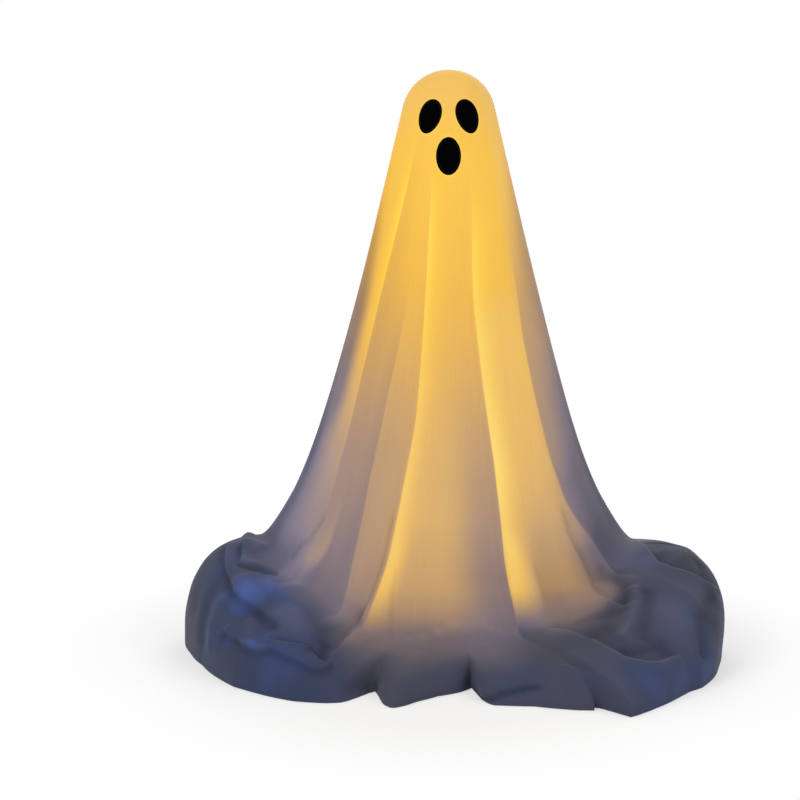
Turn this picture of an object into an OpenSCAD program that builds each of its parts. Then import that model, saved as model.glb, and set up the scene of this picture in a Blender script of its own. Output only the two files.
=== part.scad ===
// Light-up ghost: a sheer cloth drape over a pole stand that carries a laced light string.
// Millimetres, +Z up, origin on the floor under the middle of the stand, face towards -Y.
// Angles round the drape are counted from the front and grow towards +X.

/* [Drape] */
// Height of the top of the head above the floor
ghost_height = 2000; // [1800:10:2200]
// Radius of the cloth over the head
head_radius = 160; // [150:1:180]
// Lean of the skirt's two sides from upright, in degrees
side_lean = 13.5; // [12:0.5:15]
// Lean of the skirt's front and back from upright, in degrees
front_lean = 7.5; // [6:0.5:9]
// How far the two sides sweep out towards the floor
side_sweep_width = 800; // [700:10:850]
// Height in which the side sweep falls to about a third
side_sweep_height = 200; // [180:5:215]
// How far the front and back sweep out towards the floor
front_sweep_width = 60; // [20:5:120]
// Height in which the front sweep falls to about a third
front_sweep_height = 100; // [60:5:150]
// Thickness of the cloth with its lining
cloth_thickness = 3; // [2:0.5:5]

/* [Folds] */
// Height of the main folds at the foot of the skirt
fold_height = 34; // [10:1:40]
// Angle that the steep flank of a fold takes up
fold_steep = 5; // [4:0.5:8]
// Angle that the gentle flank of a fold takes up
fold_gentle = 14; // [10:0.5:18]
// Distance below the top of the head where the folds begin
fold_start = 340; // [320:10:500]
// Distance below the top of the head where the folds are at their full height
fold_full = 1400; // [1000:10:1500]

/* [Floor pile] */
// Width of the cloth where it lies on the floor
pile_width = 1870; // [1750:10:2000]
// Depth of the cloth where it lies on the floor
pile_depth = 1500; // [1400:10:1600]
// Height of the pile at the two sides
side_pile_height = 370; // [300:5:420]
// Height of the pile at the front and the back
front_pile_height = 95; // [70:5:140]
// Reach of the two loose corners beyond the pile
corner_length = 180; // [80:5:220]
// Direction of the loose corner at the front
corner_direction = 36; // [28:1:44]
// Rise and fall of the crumpled pile, as a share of its height
crumple = 0.15; // [0.05:0.01:0.25]

/* [Face] */
// Width of an eye across its short axis
eye_width = 73; // [60:1:90]
// Height of an eye along its long axis
eye_height = 117; // [100:1:130]
// Lean of the eyes towards each other, in degrees
eye_tilt = 17.5; // [5:0.5:25]
// Distance between the eyes' centres
eye_spacing = 124; // [110:1:140]
// Distance of the eyes' centres below the top of the head
eye_drop = 167; // [150:1:185]
// Width of the mouth
mouth_width = 83; // [70:1:100]
// Height of the mouth
mouth_height = 126; // [100:1:140]
// Distance of the mouth's centre below the top of the head
mouth_drop = 299; // [290:1:330]
// Thickness of the felt patches
felt_thickness = 2; // [1.5:0.1:3]

/* [Stand base] */
// Length of the lower foot bar
lower_bar_length = 660; // [640:2:680]
// Length of the upper foot bar
upper_bar_length = 760; // [750:2:780]
// Width of both foot bars
bar_width = 30; // [28:1:40]
// Thickness of both foot bars
bar_thickness = 5; // [4:0.5:8]
// Distance of a bar's peg holes inwards from its feet
peg_inset = 30; // [24:1:60]
// Diameter of the peg holes
peg_hole = 9; // [7:0.5:12]
// Diameter of the rubber feet
foot_diameter = 28; // [26:0.5:28]
// Height of the lower bar above the floor
bar_level = 15; // [14:0.5:25]
// Diameter of the foot screws
foot_screw = 5; // [4:0.5:6]
// Diameter of the pivot bolt
pivot_diameter = 10; // [8:0.5:10]
// Outer diameter of the bush that the upper bar turns on
bush_diameter = 16; // [15:0.5:18]

/* [Poles] */
// Outer diameter of the poles
pole_diameter = 25; // [25:0.5:30]
// Wall of the poles
pole_wall = 1.5; // [1:0.1:2]
// Length of the spigot that joins two poles
spigot_length = 60; // [50:1:90]
// Diameter of the snap buttons
snap_diameter = 8; // [6:0.5:9]
// Travel of the snap buttons
snap_travel = 3; // [3:0.1:4]
// Wall of the socket that holds the lowest pole
socket_wall = 4.5; // [4:0.1:7]
// Height of the socket above its flange
socket_height = 90; // [70:1:120]
// Diameter of the socket's flange
flange_diameter = 70; // [60:1:90]
// Thickness of the socket's flange
flange_thickness = 8; // [5:0.5:12]
// Diameter of the clamp screw
clamp_diameter = 8; // [6:0.5:10]
// Diameter of the clamp screw's knob
clamp_knob_diameter = 30; // [24:1:40]

/* [Head and hoops] */
// Wall of the head dome
dome_wall = 2.5; // [2:0.1:3.5]
// Straight part of the dome below its half ball
dome_skirt = 25; // [24:1:35]
// Band of the two hoops that the light string is laced through
hoop_band = 34; // [30:1:40]
// Thickness of the hoops
hoop_thickness = 4; // [3:0.5:6]
// Height of the lower hoop above the floor
lower_hoop_level = 230; // [225:5:240]
// Width of the hoops' spokes
spoke_width = 12; // [8:1:16]
// Height of the hoops' hubs
hub_height = 30; // [24:1:40]
// Wall of the hoops' hubs
hub_wall = 7; // [6:0.5:10]
// Diameter of the screws in the hubs
hoop_screw = 4; // [3:0.5:5]
// Diameter of the screws that hold the dome
dome_screw = 3; // [2.5:0.5:3.5]

/* [Light string] */
// Number of upright runs
run_count = 8; // [6:2:8]
// Lamps on each run
lamps_per_run = 14; // [10:1:18]
// Diameter of the string's wire
wire_diameter = 3; // [2:0.1:4]
// Diameter of a lamp's lens
lens_diameter = 5; // [4:0.5:6]
// Length of a lamp's lens beyond its socket
lens_length = 8; // [7:0.5:10]
// Wall of the lamp sockets round the wire
socket_sleeve = 2.5; // [2:0.1:3]
// Length of the lamp sockets along the wire
socket_length = 16; // [12:1:24]

/* [Battery case] */
// Height of the case's underside above the floor
case_level = 320; // [310:5:400]
// Gap between the pole and the case
case_standoff = 6; // [5:0.5:10]
// Wall of the case
case_wall = 2; // [1.5:0.1:3]
// Thickness of the door and the fascia
cover_thickness = 2.5; // [2:0.1:3.5]
// Diameter of a battery cell
cell_diameter = 14.5; // [14:0.1:15]
// Length of a battery cell
cell_length = 50.5; // [48:0.1:52]
// Distance between the cells' axes
cell_pitch = 16; // [15.8:0.1:18]
// Length of a contact spring under its cell
spring_length = 7; // [6:0.5:10]
// Height of the bay that holds the circuit board
board_bay = 30; // [28:1:40]
// Diameter of the mode button
button_diameter = 12; // [9:0.5:13]
// Travel of the mode button
button_travel = 1.5; // [1:0.1:2]
// Diameter of the door's hinge pin
hinge_pin = 3; // [2:0.1:3.2]
// Thickness of the door's gasket
gasket_thickness = 0.8; // [0.5:0.1:1]

/* [Hidden] */
$fn = 64;

// Clearances: parts that turn or slide, parts that pass freely, parts of different bodies
running = 0.05;
easy = 0.1;
apart = 0.3;
// Overlap that makes the pieces of one solid run into each other
fuse = 1;

// Drape
head_centre = ghost_height - head_radius;
dome_end_angle = 80;
dome_end = head_centre + head_radius * cos(dome_end_angle);
hem_lift = 0.5;
corner_spread = 16;
// Each main fold: its direction at the shoulder, at the foot, and the side of its steep flank as seen
// from outside, 1 for the left and -1 for the right
fold_lines = [[-38, -58, -1], [-15, -36, 1], [20, 30, 1], [58, 62, -1], [90, 96, 1], [128, 124, -1],
              [163, 157, 1], [197, 201, 1], [232, 236, -1], [262, 266, 1]];
dome_rows = 4;
skirt_rows = 7;
pile_rows = 5;
drape_rows = dome_rows + skirt_rows + pile_rows;
drape_columns = 36;

// Stand
bar_end = foot_diameter / 2 + 1;
lower_bar_top = bar_level + bar_thickness;
upper_bar_level = lower_bar_top + apart;
flange_level = upper_bar_level + bar_thickness + apart;
bolt_head_height = pivot_diameter * 0.6;
bolt_head_width = pivot_diameter * 1.7;
washer_thickness = 2;
nut_height = pivot_diameter * 0.8;
nut_room_diameter = bolt_head_width * 1.16 + 1;
washer_diameter = nut_room_diameter - 2 * easy;
flange_top = flange_level + flange_thickness;
pole_foot = flange_top + washer_thickness + nut_height + 4;
socket_bore = pole_diameter + 2 * easy;
socket_diameter = socket_bore + 2 * socket_wall;
clamp_level = flange_top + socket_height * 0.65;
foot_screw_head = foot_screw * 1.8;
foot_recess = 5;

// Head and hoops
dome_ease = 4;
dome_radius = head_radius - cloth_thickness - dome_ease;
dome_rim = head_centre - dome_skirt;
boss_diameter = dome_screw + 5;
boss_height = 16;
boss_radius = dome_radius - boss_diameter / 2 - dome_wall / 2 + 0.5;
hub_diameter = pole_diameter + 2 * hub_wall;
hub_cap = 4;
crown_top = dome_rim;
hoop_inner = dome_radius - hoop_band;
spoke_angles = [45, 135, 225, 315];
dome_screw_angles = [0, 90, 180, 270];

// Poles
pole_top = crown_top - hub_cap;
pole_step = (pole_top - pole_foot) / 3;
lower_joint = pole_foot + pole_step;
upper_joint = pole_foot + 2 * pole_step;
pole_bore = pole_diameter - 2 * pole_wall;
spigot_diameter = pole_bore - 2 * running;
spigot_bore = spigot_diameter - 2 * pole_wall;
snap_drop = spigot_length / 2;
snap_proud = 2;
snap_flange = 2;
snap_flange_diameter = snap_diameter + 2;
snap_seat = sqrt(pow(spigot_bore / 2, 2) - pow(snap_flange_diameter / 2, 2)) - snap_flange - apart;
snap_leaf = 0.8;

// Light string
string_radius = dome_radius - hoop_band / 2;
run_step = 360 / run_count;
bend_radius = string_radius * sin(run_step / 2);
bend_steps = 8;
bend_ease = 2;
run_top = crown_top + bend_ease;
run_bottom = lower_hoop_level - bend_ease;
lead_level = run_bottom - bend_radius - 15;
lead_corner = 15;
eyelet = wire_diameter + 0.6;
sleeve_diameter = wire_diameter + 2 * socket_sleeve;
lamp_neck = lens_diameter + 1.6;
lamp_reach = sleeve_diameter / 2 + 4;
lamp_low = lower_hoop_level + hoop_thickness + 60;
lamp_high = crown_top - hub_height - 30;
lamp_step = (lamp_high - lamp_low) / (lamps_per_run - 1);
wire_sides = 8;
end_cap_length = 14;

// Battery case
plate_thickness = 0.5;
cell_places = [-1.5, -0.5, 0.5, 1.5] * cell_pitch;
bay_height = cell_length + spring_length + 2 * plate_thickness;
case_width = 4 * cell_pitch + 2 * case_wall + 4;
case_depth = case_wall + cell_diameter + 4;
case_height = 3 * case_wall + bay_height + board_bay;
case_back = pole_diameter / 2 + case_standoff;
case_front = case_back + case_depth;
bay_floor = case_level + case_wall;
board_floor = bay_floor + bay_height + case_wall;
case_top = case_level + case_height;
cell_line = case_back + case_wall + cell_diameter / 2 + 1;
door_back = case_front + gasket_thickness + apart;
door_low = case_level + 1;
door_high = board_floor - case_wall - apart;
knuckle_diameter = hinge_pin + 4;
hinge_x = case_width / 2 + knuckle_diameter / 2 + apart;
hinge_y = door_back + cover_thickness / 2;
hinge_low = door_low + 4;
hinge_high = door_high - 4;
knuckle_length = (hinge_high - hinge_low - 2 * apart) / 3;
fascia_low = board_floor - case_wall + apart;
button_level = board_floor + board_bay / 2;
button_flange = 1;
fascia_screw = 2.5;
fascia_boss = fascia_screw + 4;
fascia_screw_x = case_width / 2 - 6;
fascia_screw_level = case_top - 6;
board_height = 2 * (fascia_screw_level - fascia_boss / 2 - 0.5 - button_level);
board_line = case_back + case_wall + 4;
board_thickness = 1.6;
switch_height = 3.5;
switch_face = board_line + board_thickness + switch_height;
gland_length = 10;
gland_diameter = wire_diameter + 6;
gland_neck = wire_diameter + 3;
gland_bore_depth = 8;
clip_height = 14;
clip_diameter = pole_diameter + 8;

// Unit vector and blend of two values
function unit(v) = v / norm(v);
function mix(a, b, t) = a + (b - a) * t;
function ramp(t) = let (s = min(1, max(0, t))) s * s * (3 - 2 * s);
function wrap(angle) = angle - 360 * floor((angle + 180) / 360);

// Half width of the cloth at a height, along one side of its outline
function profile(z, lean, sweep, fade) =
    let (tangent = head_centre + head_radius * sin(lean))
    z >= tangent
        ? sqrt(max(0, pow(head_radius, 2) - pow(z - head_centre, 2)))
        : head_radius * cos(lean) + tan(lean) * (tangent - z)
          + sweep * (exp(-z / fade) - exp(-tangent / fade));
function side_profile(z) = profile(z, side_lean, side_sweep_width, side_sweep_height);
function front_profile(z) = profile(z, front_lean, front_sweep_width, front_sweep_height);
function oval(a, b, phi) = a * b / sqrt(pow(b * sin(phi), 2) + pow(a * cos(phi), 2));

// A fold is steep on one flank and gentle on the other
function fold_shape(offset) = exp(-pow(offset / (offset < 0 ? fold_steep : fold_gentle), 2));
function folds(phi, growth) =
    max([for (f = fold_lines) fold_shape(wrap(phi - mix(f[0], f[1], growth)) * f[2])]);
function fold_growth(z) = ramp((ghost_height - fold_start - z) / (fold_full - fold_start));
function skirt_radius(phi, z) =
    let (growth = fold_growth(z))
    oval(side_profile(z), front_profile(z), phi) + fold_height * growth * folds(phi, growth);

// The pile: its height, the hem round it and its crumpled top
function pile_top(phi) = mix(front_pile_height, side_pile_height, pow(abs(sin(phi)), 3));
function corner(offset) = exp(-pow(wrap(offset) / corner_spread, 2));
function hem_radius(phi) =
    oval(pile_width / 2, pile_depth / 2, phi)
    + corner_length * (corner(phi - corner_direction) + corner(phi - corner_direction - 180));
function lumps(phi) = 0.5 * sin(5 * phi + 40) + 0.35 * sin(9 * phi + 110) + 0.15 * sin(13 * phi + 200);
function pile_point(phi, s) =
    let (foot = pile_top(phi), inner = skirt_radius(phi, foot), turn = 90 * s)
    [mix(inner, hem_radius(phi), pow(sin(turn), 0.9)),
     mix(hem_lift, foot, pow(cos(turn), 0.9) * (1 + crumple * lumps(phi) * sin(180 * s)))];

// Radius and height of the cloth: v runs from the top of the head, past 1 and 2, to 3 at the hem
function drape_section(phi, v) =
    v < 1 ? let (z = head_centre + head_radius * cos(dome_end_angle * v)) [skirt_radius(phi, z), z]
    : v < 2 ? let (z = mix(dome_end, pile_top(phi), v - 1)) [skirt_radius(phi, z), z]
    : pile_point(phi, min(1, v - 2));
function drape_point(phi, v) =
    let (section = drape_section(phi, v))
    [section[0] * sin(phi), -section[0] * cos(phi), section[1]];
function drape_normal(phi, v) =
    unit(cross(drape_point(phi + 0.5, v) - drape_point(phi - 0.5, v),
               drape_point(phi, v - 0.01) - drape_point(phi, min(3, v + 0.01))));
function on_seam(phi) = abs(cos(phi)) < 0.001;
function lining_point(phi, v) =
    let (n = drape_normal(phi, v),
         kept = unit([n.x, on_seam(phi) ? 0 : n.y, v > 2.99 ? 0 : n.z]))
    drape_point(phi, v) - cloth_thickness * kept;
function row_place(row) =
    row <= dome_rows ? row / dome_rows
    : row <= dome_rows + skirt_rows ? 1 + (row - dome_rows) / skirt_rows
    : 2 + (row - dome_rows - skirt_rows) / pile_rows;

// Half of the drape as a closed shell: an apex and rows of points, outside and lining
module drape_half(start) {
    columns = [for (c = [0:drape_columns]) start + 180 * c / drape_columns];
    places = [for (r = [1:drape_rows]) row_place(r)];
    outside = [for (v = places) for (phi = columns) drape_point(phi, v)];
    lining = [for (v = places) for (phi = columns) lining_point(phi, v)];
    points = concat([[0, 0, ghost_height]], outside, [[0, 0, ghost_height - cloth_thickness]], lining);
    wide = drape_columns + 1;
    under = 1 + drape_rows * wide;
    last = drape_columns;
    skin = concat(
        [for (c = [0:last - 1]) [0, 2 + c, 1 + c]],
        [for (r = [0:drape_rows - 2]) for (c = [0:last - 1])
            let (a = 1 + r * wide + c) each [[a, a + 1, a + wide + 1], [a, a + wide + 1, a + wide]]]);
    inside = [for (f = skin) [f[0] + under, f[2] + under, f[1] + under]];
    left = concat([0], [for (r = [0:drape_rows - 1]) 1 + r * wide]);
    right = concat([0], [for (r = [0:drape_rows - 1]) 1 + r * wide + last]);
    seams = [for (r = [0:drape_rows - 1])
        let (a = left[r], d = left[r + 1], b = right[r], c = right[r + 1])
        each [[a, d, d + under], [a, d + under, a + under], [c, b, b + under], [c, b + under, c + under]]];
    hem = [for (c = [0:last - 1])
        let (d = 1 + (drape_rows - 1) * wide + c)
        each [[d, d + 1, d + 1 + under], [d, d + 1 + under, d + under]]];
    polyhedron(points, concat(skin, inside, seams, hem));
}

module drape_front() { color("#e8c27a") drape_half(-90); }
module drape_back() { color("#8f8799") drape_half(90); }

// Felt patches that lie on the cloth of the head
function face_point(x, z) = [x, -front_profile(z) * sqrt(1 - pow(x / side_profile(z), 2)), z];
function face_normal(x, z) =
    unit(cross(face_point(x + 0.5, z) - face_point(x - 0.5, z),
               face_point(x, z + 0.5) - face_point(x, z - 0.5)));
patch_steps = 28;
patch_rings = [0.5, 1];
stitch_room = 1;

module felt_patch(x, drop, width, height, tilt) {
    function flat(turn, share) =
        let (u = share * width / 2 * cos(turn), w = share * height / 2 * sin(turn))
        [x + u * cos(tilt) - w * sin(tilt), ghost_height - drop + u * sin(tilt) + w * cos(tilt)];
    function lifted(p, lift) = face_point(p[0], p[1]) + lift * face_normal(p[0], p[1]);
    function layer(lift) = concat(
        [lifted(flat(0, 0), lift)],
        [for (share = patch_rings) for (k = [0:patch_steps - 1])
            lifted(flat(360 * k / patch_steps, share), lift)]);
    count = 1 + len(patch_rings) * patch_steps;
    function next(k) = (k + 1) % patch_steps;
    top = [for (k = [0:patch_steps - 1])
        let (a = 1 + k, b = 1 + next(k), c = a + patch_steps, d = b + patch_steps)
        each [[0, b, a], [a, b, d], [a, d, c]]];
    bottom = [for (f = top) [f[0] + count, f[2] + count, f[1] + count]];
    rim = [for (k = [0:patch_steps - 1])
        let (a = 1 + patch_steps + k, b = 1 + patch_steps + next(k))
        each [[a, b, b + count], [a, b + count, a + count]]];
    polyhedron(concat(layer(stitch_room + felt_thickness), layer(stitch_room)), concat(top, bottom, rim));
}

module eye_left() { color("#141214") felt_patch(-eye_spacing / 2, eye_drop, eye_width, eye_height, -eye_tilt); }
module eye_right() { color("#141214") felt_patch(eye_spacing / 2, eye_drop, eye_width, eye_height, eye_tilt); }
module mouth() { color("#141214") felt_patch(0, mouth_drop, mouth_width, mouth_height, 0); }

// Flat foot bar along X, centred on the pivot, with a pivot hole, peg holes and foot holes
module foot_bar(length, pivot_hole) {
    difference() {
        translate([-length / 2, -bar_width / 2, 0]) cube([length, bar_width, bar_thickness]);
        translate([0, 0, -fuse]) cylinder(d = pivot_hole, h = bar_thickness + 2 * fuse);
        for (side = [-1, 1]) {
            translate([side * (length / 2 - bar_end - peg_inset), 0, -fuse])
                cylinder(d = peg_hole, h = bar_thickness + 2 * fuse);
            translate([side * (length / 2 - bar_end), 0, -fuse])
                cylinder(d = foot_screw + 2 * easy, h = bar_thickness + 2 * fuse);
        }
    }
}

module lower_foot_bar() {
    color("#26272b") translate([0, 0, bar_level]) foot_bar(lower_bar_length, pivot_diameter + 2 * easy);
}
module upper_foot_bar() {
    color("#26272b") translate([0, 0, upper_bar_level])
        rotate([0, 0, 90]) foot_bar(upper_bar_length, bush_diameter + 2 * running);
}

// Pair of rubber feet under a bar along X, with a recess for the screw's head
module feet(length, height) {
    for (side = [-1, 1])
        translate([side * (length / 2 - bar_end), 0, 0]) difference() {
            cylinder(d = foot_diameter, h = height);
            translate([0, 0, -fuse]) cylinder(d = foot_screw_head + 2 * easy, h = foot_recess + fuse);
            translate([0, 0, -fuse]) cylinder(d = foot_screw + 2 * easy, h = height + 2 * fuse);
        }
}

// Pair of screws that come up through the feet and end flush with the bar's top
module bar_screws(length, height) {
    for (side = [-1, 1])
        translate([side * (length / 2 - bar_end), 0, 0]) {
            translate([0, 0, foot_recess - foot_screw / 2]) cylinder(d = foot_screw_head, h = foot_screw / 2);
            translate([0, 0, foot_recess - fuse]) cylinder(d = foot_screw, h = height - foot_recess + fuse);
        }
}

module lower_bar_feet() { color("#1c1c1e") feet(lower_bar_length, bar_level); }
module upper_bar_feet() { color("#1c1c1e") rotate([0, 0, 90]) feet(upper_bar_length, upper_bar_level); }
module lower_foot_screws() { color("#a9adb2") bar_screws(lower_bar_length, lower_bar_top); }
module upper_foot_screws() {
    color("#a9adb2") rotate([0, 0, 90]) bar_screws(upper_bar_length, upper_bar_level + bar_thickness);
}

// Pivot of the base: the bolt comes up through both bars into the socket
module pivot_bolt() {
    color("#a9adb2") {
        translate([0, 0, bar_level - bolt_head_height])
            cylinder(d = bolt_head_width * 2 / sqrt(3), h = bolt_head_height, $fn = 6);
        translate([0, 0, bar_level - fuse])
            cylinder(d = pivot_diameter, h = flange_top + washer_thickness + nut_height + 2 - bar_level + fuse);
    }
}
module pivot_bush() {
    color("#b08d4a") translate([0, 0, lower_bar_top]) difference() {
        cylinder(d = bush_diameter, h = bar_thickness + 2 * apart);
        translate([0, 0, -fuse])
            cylinder(d = pivot_diameter + 2 * easy, h = bar_thickness + 2 * apart + 2 * fuse);
    }
}
module pivot_washer() {
    color("#a9adb2") translate([0, 0, flange_top]) difference() {
        cylinder(d = washer_diameter, h = washer_thickness);
        translate([0, 0, -fuse]) cylinder(d = pivot_diameter + 2 * easy, h = washer_thickness + 2 * fuse);
    }
}
module pivot_nut() {
    color("#a9adb2") translate([0, 0, flange_top + washer_thickness]) difference() {
        cylinder(d = bolt_head_width * 2 / sqrt(3), h = nut_height, $fn = 6);
        translate([0, 0, -fuse]) cylinder(d = pivot_diameter + 2 * easy, h = nut_height + 2 * fuse);
    }
}

// Socket: a flange on the base, room for the nut, and a bore with a ledge for the pole
module pole_socket() {
    color("#26272b") difference() {
        union() {
            translate([0, 0, flange_level]) cylinder(d = flange_diameter, h = flange_thickness);
            translate([0, 0, flange_level]) cylinder(d = socket_diameter, h = flange_thickness + socket_height);
        }
        translate([0, 0, flange_level - fuse])
            cylinder(d = pivot_diameter + 2 * easy, h = flange_thickness + 2 * fuse);
        translate([0, 0, flange_top]) cylinder(d = nut_room_diameter, h = pole_foot - flange_top + fuse);
        translate([0, 0, pole_foot]) cylinder(d = socket_bore, h = socket_height);
        translate([0, 0, clamp_level]) rotate([0, 90, 0])
            cylinder(d = clamp_diameter + 2 * running, h = socket_diameter);
    }
}

// Clamp screw with a lobed knob, along +X
module clamp_knob() {
    tip = pole_diameter / 2 + apart;
    knob_back = socket_diameter / 2 + 2;
    knob_thickness = clamp_diameter + 4;
    lobes = 6;
    color("#1c1c1e") translate([0, 0, clamp_level]) rotate([0, 90, 0]) {
        translate([0, 0, tip]) cylinder(d = clamp_diameter, h = knob_back - tip + fuse);
        translate([0, 0, knob_back]) difference() {
            cylinder(d = clamp_knob_diameter, h = knob_thickness);
            for (k = [0:lobes - 1]) rotate([0, 0, 360 * k / lobes])
                translate([clamp_knob_diameter / 2 + 2, 0, -fuse])
                    cylinder(d = clamp_knob_diameter / 3, h = knob_thickness + 2 * fuse);
        }
    }
}

// Tube with a bore right through
module tube(outer, bore, length) {
    difference() {
        cylinder(d = outer, h = length);
        translate([0, 0, -fuse]) cylinder(d = bore, h = length + 2 * fuse);
    }
}

// Hole for a snap button in the +X wall at a height
module snap_hole(level) {
    translate([0, 0, level]) rotate([0, 90, 0])
        cylinder(d = snap_diameter + 2 * running, h = pole_diameter);
}

// Pole from one level to the next, with a spigot into the pole below where it has one
module pole(low, high, spigot, snap_at_top) {
    difference() {
        union() {
            translate([0, 0, low]) tube(pole_diameter, pole_bore, high - low);
            if (spigot) {
                translate([0, 0, low - spigot_length]) tube(spigot_diameter, spigot_bore, spigot_length + fuse);
                translate([0, 0, low]) tube(pole_bore + fuse, spigot_bore, 2 * fuse);
            }
        }
        if (spigot) snap_hole(low - snap_drop);
        if (snap_at_top) snap_hole(high - snap_drop);
    }
}

module lower_pole() { color("#3a3b40") pole(pole_foot, lower_joint, false, true); }
module middle_pole() { color("#3a3b40") pole(lower_joint, upper_joint, true, true); }
module upper_pole() { color("#3a3b40") pole(upper_joint, pole_top, true, false); }

// Sprung button that locks two poles, and the leaf behind it
module snap_button(level) {
    color("#a9adb2") translate([0, 0, level - snap_drop]) rotate([0, 90, 0]) {
        translate([0, 0, snap_seat]) cylinder(d = snap_flange_diameter, h = snap_flange);
        translate([0, 0, snap_seat])
            cylinder(d = snap_diameter, h = pole_diameter / 2 + snap_proud - snap_seat);
    }
}
module snap_spring(level) {
    back = -spigot_bore / 2 + 2;
    arm = spigot_length / 2 - snap_drop / 4;
    color("#c9ccd0") translate([0, 0, level - snap_drop]) {
        translate([snap_seat - snap_leaf, -3, -arm]) cube([snap_leaf, 6, arm + snap_diameter / 2]);
        translate([back, -3, -arm]) cube([snap_seat - back, 6, snap_leaf]);
        translate([back, -3, -arm]) cube([snap_leaf, 6, arm + snap_diameter / 2]);
    }
}
module lower_snap_button() { snap_button(lower_joint); }
module upper_snap_button() { snap_button(upper_joint); }
module lower_snap_spring() { snap_spring(lower_joint); }
module upper_snap_spring() { snap_spring(upper_joint); }

// Hoop plate with spokes and eyelets for the string, its top face at z = 0
module hoop_plate() {
    difference() {
        union() {
            translate([0, 0, -hoop_thickness]) tube(2 * dome_radius, 2 * hoop_inner, hoop_thickness);
            for (angle = spoke_angles) rotate([0, 0, angle])
                translate([hub_diameter / 2 - 3, -spoke_width / 2, -hoop_thickness])
                    cube([hoop_inner - hub_diameter / 2 + 5, spoke_width, hoop_thickness]);
        }
        for (k = [0:run_count - 1]) translate(string_place(k, -hoop_thickness - fuse))
            cylinder(d = eyelet, h = hoop_thickness + 2 * fuse);
    }
}

// Screw hole in a hub along -Y
module hub_screw_hole(level) {
    translate([0, 0, level]) rotate([90, 0, 0])
        cylinder(d = hoop_screw + 2 * running, h = hub_diameter);
}
lower_hub_top = lower_hoop_level + hoop_thickness;
lower_screw_level = lower_hub_top + hub_height / 2 - hoop_thickness / 2;
crown_screw_level = crown_top - hub_height / 2 - hoop_thickness / 2;

module lower_hoop() {
    color("#26272b") difference() {
        union() {
            translate([0, 0, lower_hub_top]) hoop_plate();
            translate([0, 0, lower_hoop_level]) cylinder(d = hub_diameter, h = hub_height);
        }
        translate([0, 0, lower_hoop_level - fuse])
            cylinder(d = pole_diameter + 2 * easy, h = hub_height + 2 * fuse);
        hub_screw_hole(lower_screw_level);
    }
}
module crown_hoop() {
    color("#26272b") difference() {
        union() {
            translate([0, 0, crown_top]) hoop_plate();
            translate([0, 0, crown_top - hub_height]) cylinder(d = hub_diameter, h = hub_height);
        }
        translate([0, 0, crown_top - hub_height - fuse])
            cylinder(d = pole_diameter + 2 * easy, h = hub_height - hub_cap + fuse);
        hub_screw_hole(crown_screw_level);
        for (angle = dome_screw_angles) rotate([0, 0, angle])
            translate([boss_radius, 0, crown_top - hoop_thickness - fuse])
                cylinder(d = dome_screw + 2 * easy, h = hoop_thickness + 2 * fuse);
    }
}
module hoop_screws() {
    color("#a9adb2") for (level = [lower_screw_level, crown_screw_level])
        translate([0, 0, level]) rotate([90, 0, 0]) {
            translate([0, 0, pole_diameter / 2 + apart])
                cylinder(d = hoop_screw, h = hub_wall);
            translate([0, 0, hub_diameter / 2]) cylinder(d = hoop_screw * 1.8, h = hoop_screw * 0.6);
        }
}

// Translucent half ball with a short straight rim and four inner bosses
module head_dome() {
    inner = dome_radius - dome_wall;
    color("#f3ead6") difference() {
        union() {
            difference() {
                union() {
                    translate([0, 0, head_centre]) sphere(r = dome_radius);
                    translate([0, 0, dome_rim]) cylinder(r = dome_radius, h = dome_skirt);
                }
                translate([0, 0, head_centre]) sphere(r = inner);
                translate([0, 0, dome_rim - fuse]) cylinder(r = inner, h = dome_skirt + fuse);
                translate([-dome_radius, -dome_radius, dome_rim - 2 * dome_radius])
                    cube([2 * dome_radius, 2 * dome_radius, 2 * dome_radius]);
            }
            for (angle = dome_screw_angles) rotate([0, 0, angle])
                translate([boss_radius, 0, dome_rim]) cylinder(d = boss_diameter, h = boss_height);
        }
        for (angle = dome_screw_angles) rotate([0, 0, angle])
            translate([boss_radius, 0, dome_rim - fuse])
                cylinder(d = dome_screw + 2 * easy, h = boss_height - 2);
    }
}
module dome_screws() {
    color("#a9adb2") for (angle = dome_screw_angles) rotate([0, 0, angle])
        translate([boss_radius, 0, crown_top - hoop_thickness]) {
            translate([0, 0, -dome_screw * 0.7]) cylinder(d = dome_screw * 1.9, h = dome_screw * 0.7);
            translate([0, 0, -fuse / 2]) cylinder(d = dome_screw, h = hoop_thickness + boss_height - 6);
        }
}

// Light string: one tube from the case, up and down through the eyelets of both hoops
function string_angle(k) = 90 - run_step / 2 + k * run_step;
function string_place(k, z) = [string_radius * cos(string_angle(k)), string_radius * sin(string_angle(k)), z];
function bend_points(k, z, way) =
    let (a = string_place(k, z), b = string_place(k + 1, z), m = (a + b) / 2)
    [for (i = [0:bend_steps]) let (t = 180 * i / bend_steps)
        m + (a - m) * cos(t) + [0, 0, way * bend_radius * sin(t)]];
function rounded_corner(a, b, c) =
    let (from = b + lead_corner * unit(a - b), to = b + lead_corner * unit(c - b))
    [for (t = [0:0.25:1]) (1 - t) * (1 - t) * from + 2 * t * (1 - t) * b + t * t * to];
lead_start = [0, cell_line, case_level - gland_length + gland_bore_depth];
lead_down = [0, cell_line, lead_level];
lead_out = string_place(0, lead_level);
string_route = concat(
    [lead_start],
    rounded_corner(lead_start, lead_down, lead_out),
    rounded_corner(lead_down, lead_out, string_place(0, run_bottom)),
    [for (k = [0:run_count - 2]) each
        k % 2 == 0 ? bend_points(k, run_top, 1) : bend_points(k, run_bottom, -1)],
    [string_place(run_count - 1, run_bottom - end_cap_length)]);

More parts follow.
